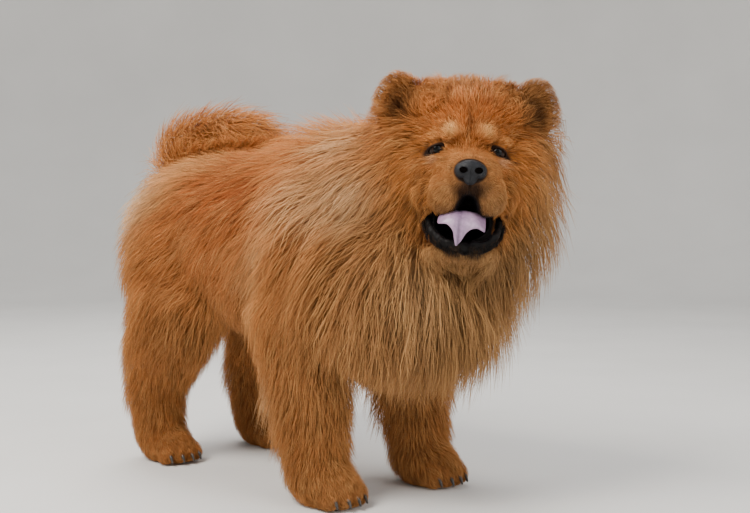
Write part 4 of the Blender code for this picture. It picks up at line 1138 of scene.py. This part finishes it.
def hair_mesh(name, path, up, width, uv, tone, shade, rings):
    """Closed, tapered three-sided hairs along the paths, which end in a point."""
    verts, share = hair_rings(path, up, width, rings)
    count, per = verts.shape[:2]
    every = (hair_faces(rings)[None] + np.arange(count)[:, None, None] * per).reshape(-1, 3)
    mesh = bpy.data.meshes.new(name)
    mesh.vertices.add(count * per)
    mesh.vertices.foreach_set("co", verts.reshape(-1))
    mesh.loops.add(every.size)
    mesh.loops.foreach_set("vertex_index", every.reshape(-1))
    mesh.polygons.add(len(every))
    mesh.polygons.foreach_set("loop_start", np.arange(0, every.size, 3))
    mesh.polygons.foreach_set("use_smooth", np.ones(len(every), bool))
    mesh.update()
    side = np.append(np.tile([0.0, 0.5, 1.0], rings), 0.5)
    along = np.append(np.repeat(share, 3), 1.0)
    places = uv[:, None, :] + (np.stack([side, along], 1) - 0.5)[None] * PATCH
    layer = mesh.uv_layers.new(name="OFBake")
    layer.data.foreach_set("uv", places.reshape(-1, 2)[every.reshape(-1)].ravel())
    along = along[None, :, None]
    # Darker at the root as painted shade deep in the coat, lighter and more gold towards the tip
    colours = tone[:, None, :] * (shade[:, None, None] * (ROOT_SHADE + TIP_LIGHTER * along))
    wash = (TIP_GOLDEN * along**2) * (tone.max(1) > NEVER_GOLDEN)[:, None, None]
    colours = colours * (1 - wash) + np.array(GOLDEN) * wash
    obj = in_scene(name, mesh)
    store_tone(obj, np.clip(colours, 0, 1).reshape(-1, 3))
    return obj


def coat_regions(roots):
    """A name for each hair's part of the coat."""
    x, y, z = roots.T
    names = np.where(y > RUMP_FROM, "rump", "flank")
    names = np.where(y < RUFF_TO, "ruff", names)
    low = z < LEGS_BELOW
    names = np.where(low & (y < -0.05) & (np.abs(x) > 0.05), "foreleg", names)
    names = np.where(low & (y > 0.1), "hindleg", names)
    names = np.char.add(np.char.add(names, "_"), np.where(x > 0, "left", "right"))
    names = np.where(tail_share(roots) > 0.5, "tail", names)
    return np.where((face_share(roots) > 0.5) & (to_head(roots)[:, 1] < 0.075), "face", names)


def surface_tree(obj):
    """The skin's triangles, to find the nearest place on it."""
    obj.data.calc_loop_triangles()
    triangles = [tuple(t.vertices) for t in obj.data.loop_triangles]
    return BVHTree.FromPolygons([v.co.copy() for v in obj.data.vertices], triangles)


def varied(roots, normals, rng):
    """Each hair's lie and sizes, which differ from the coat's plan in broad tufts and from hair to hair."""
    lie, sizes = coat_at(roots)
    count = len(roots)
    sideways = np.cross(lie, normals)
    long_share = ramp(sizes[:, 0], LONG_FROM, LONG_AT)
    lie = unit(lie + sideways * (soft_noise(roots, TUFT_SIZE, 11) * TUFT_TURN * long_share)[:, None])
    tuft = soft_noise(roots, TUFT_SIZE * 0.6, 12) * long_share
    turned = sideways * rng.normal(0, LIE_SPREAD, (count, 1))
    lie = unit(lie + turned + normals * rng.uniform(0, LIFT_SPREAD, (count, 1)))
    shorter = rng.uniform(0, 1, count) ** 1.3 * (SHORTER + SHORTER_LONG * long_share)
    sizes[:, 0] *= (LONGEST - shorter) * (1 + TUFT_LONGER * tuft)
    sizes[:, 1] *= rng.uniform(LOWEST, 1.0, count) ** 0.6 * HIGHEST * (1 + TUFT_HIGHER * tuft)
    return lie, sizes


def hair_tones(roots, path, length, leader, rng):
    """Each hair's colour and shade, with a painted sheen of gold on some locks and hairs. Long hair lies over
    the next marks and takes their colour.
    """
    lying = ramp(length, LYING_FROM, LYING_AT)[:, None]
    tone = markings_and_painted_light(roots + (path[:, PATH_STEPS // 2] - roots) * lying)
    count = len(roots)
    # Gold laid on some locks and hairs: painted sheen, a highlight
    golden_sheen = np.clip(rng.normal(*SHEEN_LOCK, count)[leader] + rng.normal(*SHEEN_HAIR, count), 0, 0.5)
    tone = laid_over(tone, GOLDEN, golden_sheen * ramp(tone.max(1), 0.15, 0.40))
    lock_shade = rng.normal(*SHADE_LOCK, count)[leader]
    return tone, np.clip(lock_shade * rng.normal(*SHADE_HAIR, count), 0.6, 1.5)


def coat(obj):
    """The whole coat over the skin, in pieces by part of the body."""
    rng = np.random.default_rng(SEED)
    roots, normals, uv = rooted(obj, rng)
    lie, sizes = varied(roots, normals, rng)
    path, up = paths(surface_tree(obj), roots, normals, lie, sizes)
    path, leader = gathered(path, up, roots, sizes, rng)
    path = held_in(path)
    width = width_of(sizes[:, 0]) * rng.uniform(*WIDTH_VARIES, len(roots))
    tone, shade = hair_tones(roots, path, sizes[:, 0], leader, rng)
    regions = coat_regions(roots)
    hairs = (path, up, width, uv, tone, shade)
    pieces = []
    for name in np.unique(regions):
        chosen = np.flatnonzero(regions == name)
        rings = 2 if name == "face" or "leg" in name else 3
        parts = math.ceil(len(chosen) * len(hair_faces(rings)) / COAT_PIECE_TRIANGLES)
        for k, rows in enumerate(np.array_split(chosen, parts)):
            label = f"coat_{name}" + (f"_{k + 1}" if parts > 1 else "")
            pieces.append(hair_mesh(label, *[values[rows] for values in hairs], rings))
    print(len(roots), "hairs,", sum(len(p.data.polygons) for p in pieces), "triangles of them")
    return pieces


# Eyes, nose, tongue and claws


def eye(side):
    """The eyeball, with the cornea standing out where it looks ahead."""
    obj = ball(0, 0, 0, EYE_RADIUS, EYE_RADIUS, EYE_RADIUS, segments=64)
    obj.name = "eye_left_ball" if side > 0 else "eye_right_ball"
    co = points_of(obj)
    gaze = np.array((side * -0.02, -1.0, -0.02))
    facing = unit(co) @ (gaze / np.linalg.norm(gaze))
    move_points(obj, co * (1 + CORNEA * ramp(facing, 0.80, 0.93))[:, None])
    store_values(obj, "gaze", facing)
    obj.data.transform(HEAD @ Matrix.Translation((side * EYE_X, 0, 0)))
    return shade_smooth(obj)


def nose():
    """The pad, with nostrils that run out into slots at its sides and a groove down its middle."""
    _, y, z = NOSE_AT
    pad = [ball(dx, y + dy, z + dz, *radii, place=HEAD) for dx, dy, dz, *radii in mirrored(NOSE_PAD)]
    obj = melted("nose_pad", pad, NOSE_VOXEL)
    soften(obj, NOSE_SMOOTHING)
    apply_modifiers(obj)
    for side in (1, -1):
        for rows, sides, across in ((NOSTRIL, 24, (1, 0, 0)), (NOSTRIL_SLOT, 20, (0, 0, 1))):
            hole = [(side * (NOSTRIL_X + out), y + dy, z + dz, *size) for out, dy, dz, *size in rows]
            boolean(obj, "DIFFERENCE", limb(hole, sides=sides, place=HEAD, side=Vector(across)))
    co = points_of(obj)
    local = to_head(co)
    depth, width = NOSE_GROOVE
    groove = depth * np.exp(-((local[:, 0] / width) ** 2)) * ramp(-local[:, 2], 0.022, 0.030)
    move_points(obj, co - normals_of(obj) * groove[:, None])
    return shade_smooth(obj)


def tongue():
    """Broad over the lower lip with its sides hanging, then narrow to the tip, and grooved along it."""
    obj = limb(TONGUE, sides=40, per_span=8, cap=0.9, place=HEAD)
    obj.name = "tongue_top"
    co = points_of(obj)
    local = to_head(co)
    middle = TONGUE_MIDDLE + local[:, 1] * TONGUE_TURN
    away = np.clip(np.abs(local[:, 0] - middle) / TONGUE_HALF, 0, 1.1)
    depth, width = TONGUE_GROOVE
    groove = depth * np.exp(-((away / width) ** 2))
    drop = TONGUE_DROP * away**2.4 * ramp(-local[:, 1], 0.030, 0.056)
    move_points(obj, co - normals_of(obj) * groove[:, None] - drop[:, None] * HEAD_TURN[:, 2])
    store_values(obj, "off_middle", away)
    return shade_smooth(obj)


def claw(x, y, z):
    """From the front of its toe, forwards and down."""
    front = y - TOE_SIZE * 0.78
    r = CLAW_RADIUS
    stations = [
        (x, front + 0.004, z - 0.007, r, r * 1.2),
        (x, front - CLAW_LENGTH * 0.4, z - 0.011, r * 0.8, r),
        (x, front - CLAW_LENGTH * 0.75, z - 0.019, r * 0.4, r * 0.5),
    ]
    return limb(stations, sides=12, per_span=4, cap=0.9)


def claws():
    """Blunt dark claws that curve down from the toes."""
    obj = joined("claws", [claw(*place) for paw in (FORE_PAW, HIND_PAW) for place in toe_places(paw)])
    return shade_smooth(obj)


# Materials


class Nodes:
    """Short hand for a material's node tree."""

    def __init__(self, name, roughness, specular=0.5):
        self.material = bpy.data.materials.new(name)
        self.material.use_nodes = True
        self.tree = self.material.node_tree
        self.surface = self.tree.nodes["Principled BSDF"]
        self.surface.inputs["Roughness"].default_value = roughness
        self.surface.inputs["Specular IOR Level"].default_value = specular

    def add(self, kind, **settings):
        node = self.tree.nodes.new(kind)
        for key, value in settings.items():
            setattr(node, key, value)
        return node

    def link(self, source, target):
        self.tree.links.new(source, target)

    def noise(self, scale, detail=4.0, stretch=(1, 1, 1)):
        mapping = self.add("ShaderNodeMapping")
        mapping.inputs["Scale"].default_value = stretch
        noise = self.add("ShaderNodeTexNoise")
        noise.inputs["Scale"].default_value = scale
        noise.inputs["Detail"].default_value = detail
        self.link(self.place(), mapping.inputs["Vector"])
        self.link(mapping.outputs["Vector"], noise.inputs["Vector"])
        return noise.outputs["Fac"]

    def place(self):
        return self.add("ShaderNodeTexCoord").outputs["Object"]

    def attribute(self, name, output="Fac"):
        return self.add("ShaderNodeAttribute", attribute_name=name).outputs[output]

    def between(self, fac, *stops):
        """A colour that runs from stop to stop as fac rises."""
        bar = self.add("ShaderNodeValToRGB")
        elements = bar.color_ramp.elements
        for element, (at, colour) in zip(list(elements), (stops[0], stops[-1])):
            element.position, element.color = at, (*colour, 1)
        for at, colour in stops[1:-1]:
            elements.new(at).color = (*colour, 1)
        self.link(fac, bar.inputs["Fac"])
        return bar.outputs["Color"]

    def mottled(self, colour, scale, low, high):
        """The colour, darker and lighter in soft spots."""
        grey = self.between(self.noise(scale), (0.3, (low, low, low)), (0.7, (high, high, high)))
        return self.times(colour, grey)

    def times(self, colour, shade):
        mix = self.add("ShaderNodeMix", data_type="RGBA", blend_type="MULTIPLY")
        mix.inputs["Factor"].default_value = 1.0
        self.link(colour, mix.inputs["A"])
        self.link(shade, mix.inputs["B"])
        return mix.outputs["Result"]

    def bump(self, height, strength, distance):
        bump = self.add("ShaderNodeBump")
        bump.inputs["Strength"].default_value = strength
        bump.inputs["Distance"].default_value = distance
        self.link(height, bump.inputs["Height"])
        self.link(bump.outputs["Normal"], self.surface.inputs["Normal"])

    def base(self, colour):
        self.link(colour, self.surface.inputs["Base Color"])


def coat_material():
    made = Nodes("coat", 0.62, 0.18)
    made.base(made.mottled(made.attribute("tone", "Color"), 90.0, 0.86, 1.14))
    made.bump(made.noise(900.0, 2.0), 0.25, 0.0004)
    return made.material


def skin_material():
    made = Nodes("skin", 0.80, 0.13)
    made.base(made.mottled(made.attribute("tone", "Color"), 160.0, 0.70, 1.10))
    made.bump(made.noise(700.0, 3.0), 0.5, 0.0008)
    rough = made.add("ShaderNodeMapRange")
    rough.inputs["To Min"].default_value, rough.inputs["To Max"].default_value = 0.80, 0.52
    made.link(made.attribute("wet"), rough.inputs["Value"])
    made.link(rough.outputs["Result"], made.surface.inputs["Roughness"])
    return made.material


def eye_material():
    made = Nodes("eye", 0.05, 0.22)
    rings = made.between(
        made.attribute("gaze"),
        (0.620, (0.060, 0.040, 0.032)),
        (0.700, (0.008, 0.005, 0.004)),
        (0.780, (0.026, 0.010, 0.005)),
        (0.880, (0.016, 0.006, 0.003)),
        (0.910, (0.001, 0.001, 0.001)),
    )
    made.base(made.mottled(rings, 420.0, 0.75, 1.2))
    return made.material


def nose_material():
    made = Nodes("nose", 0.50, 0.24)
    made.base(made.between(made.noise(130.0), (0.3, (0.006, 0.007, 0.009)), (0.7, (0.015, 0.016, 0.020))))
    cells = made.add("ShaderNodeTexVoronoi")
    cells.inputs["Scale"].default_value = 620.0
    made.link(made.place(), cells.inputs["Vector"])
    made.bump(cells.outputs["Distance"], 0.55, 0.0005)
    return made.material


def tongue_material():
    made = Nodes("tongue", 0.38)
    # Lilac, darkest along the middle as painted shade in the groove, and a little darker at the edges
    lilac = made.between(
        made.attribute("off_middle"),
        (0.00, (0.14, 0.085, 0.15)),
        (0.12, (0.30, 0.19, 0.31)),
        (0.55, (0.44, 0.29, 0.43)),
        (1.00, (0.32, 0.20, 0.33)),
    )
    made.base(made.mottled(lilac, 220.0, 0.80, 1.15))
    made.bump(made.noise(1300.0, 2.0), 0.5, 0.0005)
    made.surface.inputs["Coat Weight"].default_value = 0.35
    made.surface.inputs["Coat Roughness"].default_value = 0.22
    return made.material


def claw_material():
    made = Nodes("claw", 0.35)
    streaks = made.noise(300.0, 3.0, (1, 1, 0.2))
    made.base(made.between(streaks, (0.3, (0.020, 0.017, 0.015)), (0.7, (0.060, 0.048, 0.040))))
    made.bump(made.noise(500.0, 2.0, (1, 1, 0.1)), 0.3, 0.0004)
    return made.material


def floor_material():
    made = Nodes("floor", 0.85)
    made.base(made.between(made.noise(3.0), (0.3, (0.72, 0.71, 0.69)), (0.7, (0.76, 0.75, 0.73))))
    return made.material


# Scene


def set_up(obj, material, slot, *nodes):
    """Puts a finished piece in the row frame, on its body and gives it its material."""
    obj.data.transform(Matrix.Translation(SHIFT))
    obj.data.materials.clear()
    obj.data.materials.append(material)
    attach(obj, "root")
    if nodes:
        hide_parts(*nodes)


def stage():
    """A pale floor that curves up into a wall all round, beyond the cameras."""
    profile = [(0.0, 0.0), (FLOOR_REACH * 0.5, 0.0), (FLOOR_REACH, 0.0)]
    bend = np.linspace(0.1, math.pi / 2, 12)
    profile += [(FLOOR_REACH + WALL_BEND * math.sin(a), WALL_BEND * (1 - math.cos(a))) for a in bend]
    profile.append((FLOOR_REACH + WALL_BEND, WALL_HEIGHT))
    angles = [2 * math.pi * k / FLOOR_SIDES for k in range(FLOOR_SIDES)]
    verts = [(r * math.cos(a), r * math.sin(a), height) for r, height in profile for a in angles]
    floor = shade_smooth(new_object("floor", verts, ring_faces(len(profile), FLOOR_SIDES)))
    floor.data.materials.append(floor_material())


def lamp(name, azimuth, height, distance, size, power, warmth):
    """A square soft light that looks at the dog."""
    data = bpy.data.lights.new(name, "AREA")
    data.size, data.energy, data.color = size, power, warmth
    obj = in_scene(name, data)
    a = math.radians(azimuth)
    obj.location = (distance * math.sin(a), -distance * math.cos(a), height)
    obj.rotation_euler = (Vector((0, 0, LAMPS_AIM)) - obj.location).to_track_quat("-Z", "Y").to_euler()


def lights():
    lamp("key", -85, 2.6, 2.2, 1.5, 140, (1.0, 0.95, 0.88))
    lamp("fill", 5, 1.6, 3.0, 2.4, 42, (1.0, 0.98, 0.96))
    lamp("top", 160, 3.0, 1.6, 1.8, 70, (1.0, 0.98, 0.95))
    world = bpy.data.worlds.new("studio")
    world.use_nodes = True
    sky = world.node_tree.nodes["Background"]
    sky.inputs["Color"].default_value = (0.82, 0.84, 0.87, 1)
    sky.inputs["Strength"].default_value = 0.55
    bpy.context.scene.world = world


def camera():
    data = bpy.data.cameras.new("camera")
    data.lens, data.sensor_width = LENS, SENSOR
    obj = in_scene("camera", data)
    obj.location = CAMERA_AT + SHIFT
    obj.rotation_euler = (math.radians(90 + CAMERA_PITCH), 0, math.radians(CAMERA_AZIMUTH))
    bpy.context.scene.camera = obj


def main():
    camera()
    stage()
    lights()
    body = skin()
    unwrapped(body)
    pieces = coat(body)
    places = points_of(body)
    # The skin darker than the coat: partly undercoat, partly painted shade between the hairs
    store_tone(body, markings_and_painted_light(places) * SKIN_UNDERCOAT_AND_SHADE)
    store_values(body, "wet", lip_distance(to_head(places)) < WET_REACH)
    flesh = [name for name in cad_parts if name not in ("eye_left", "eye_right", "nose", "tongue")]
    set_up(body, skin_material(), "coat", *flesh)
    hair = coat_material()
    for piece in pieces:
        set_up(piece, hair, "coat")
    glossy = eye_material()
    set_up(eye(1), glossy, "eye", "eye_left")
    set_up(eye(-1), glossy, "eye", "eye_right")
    set_up(nose(), nose_material(), "nose", "nose")
    set_up(tongue(), tongue_material(), "tongue", "tongue")
    set_up(claws(), claw_material(), "nose")


main()
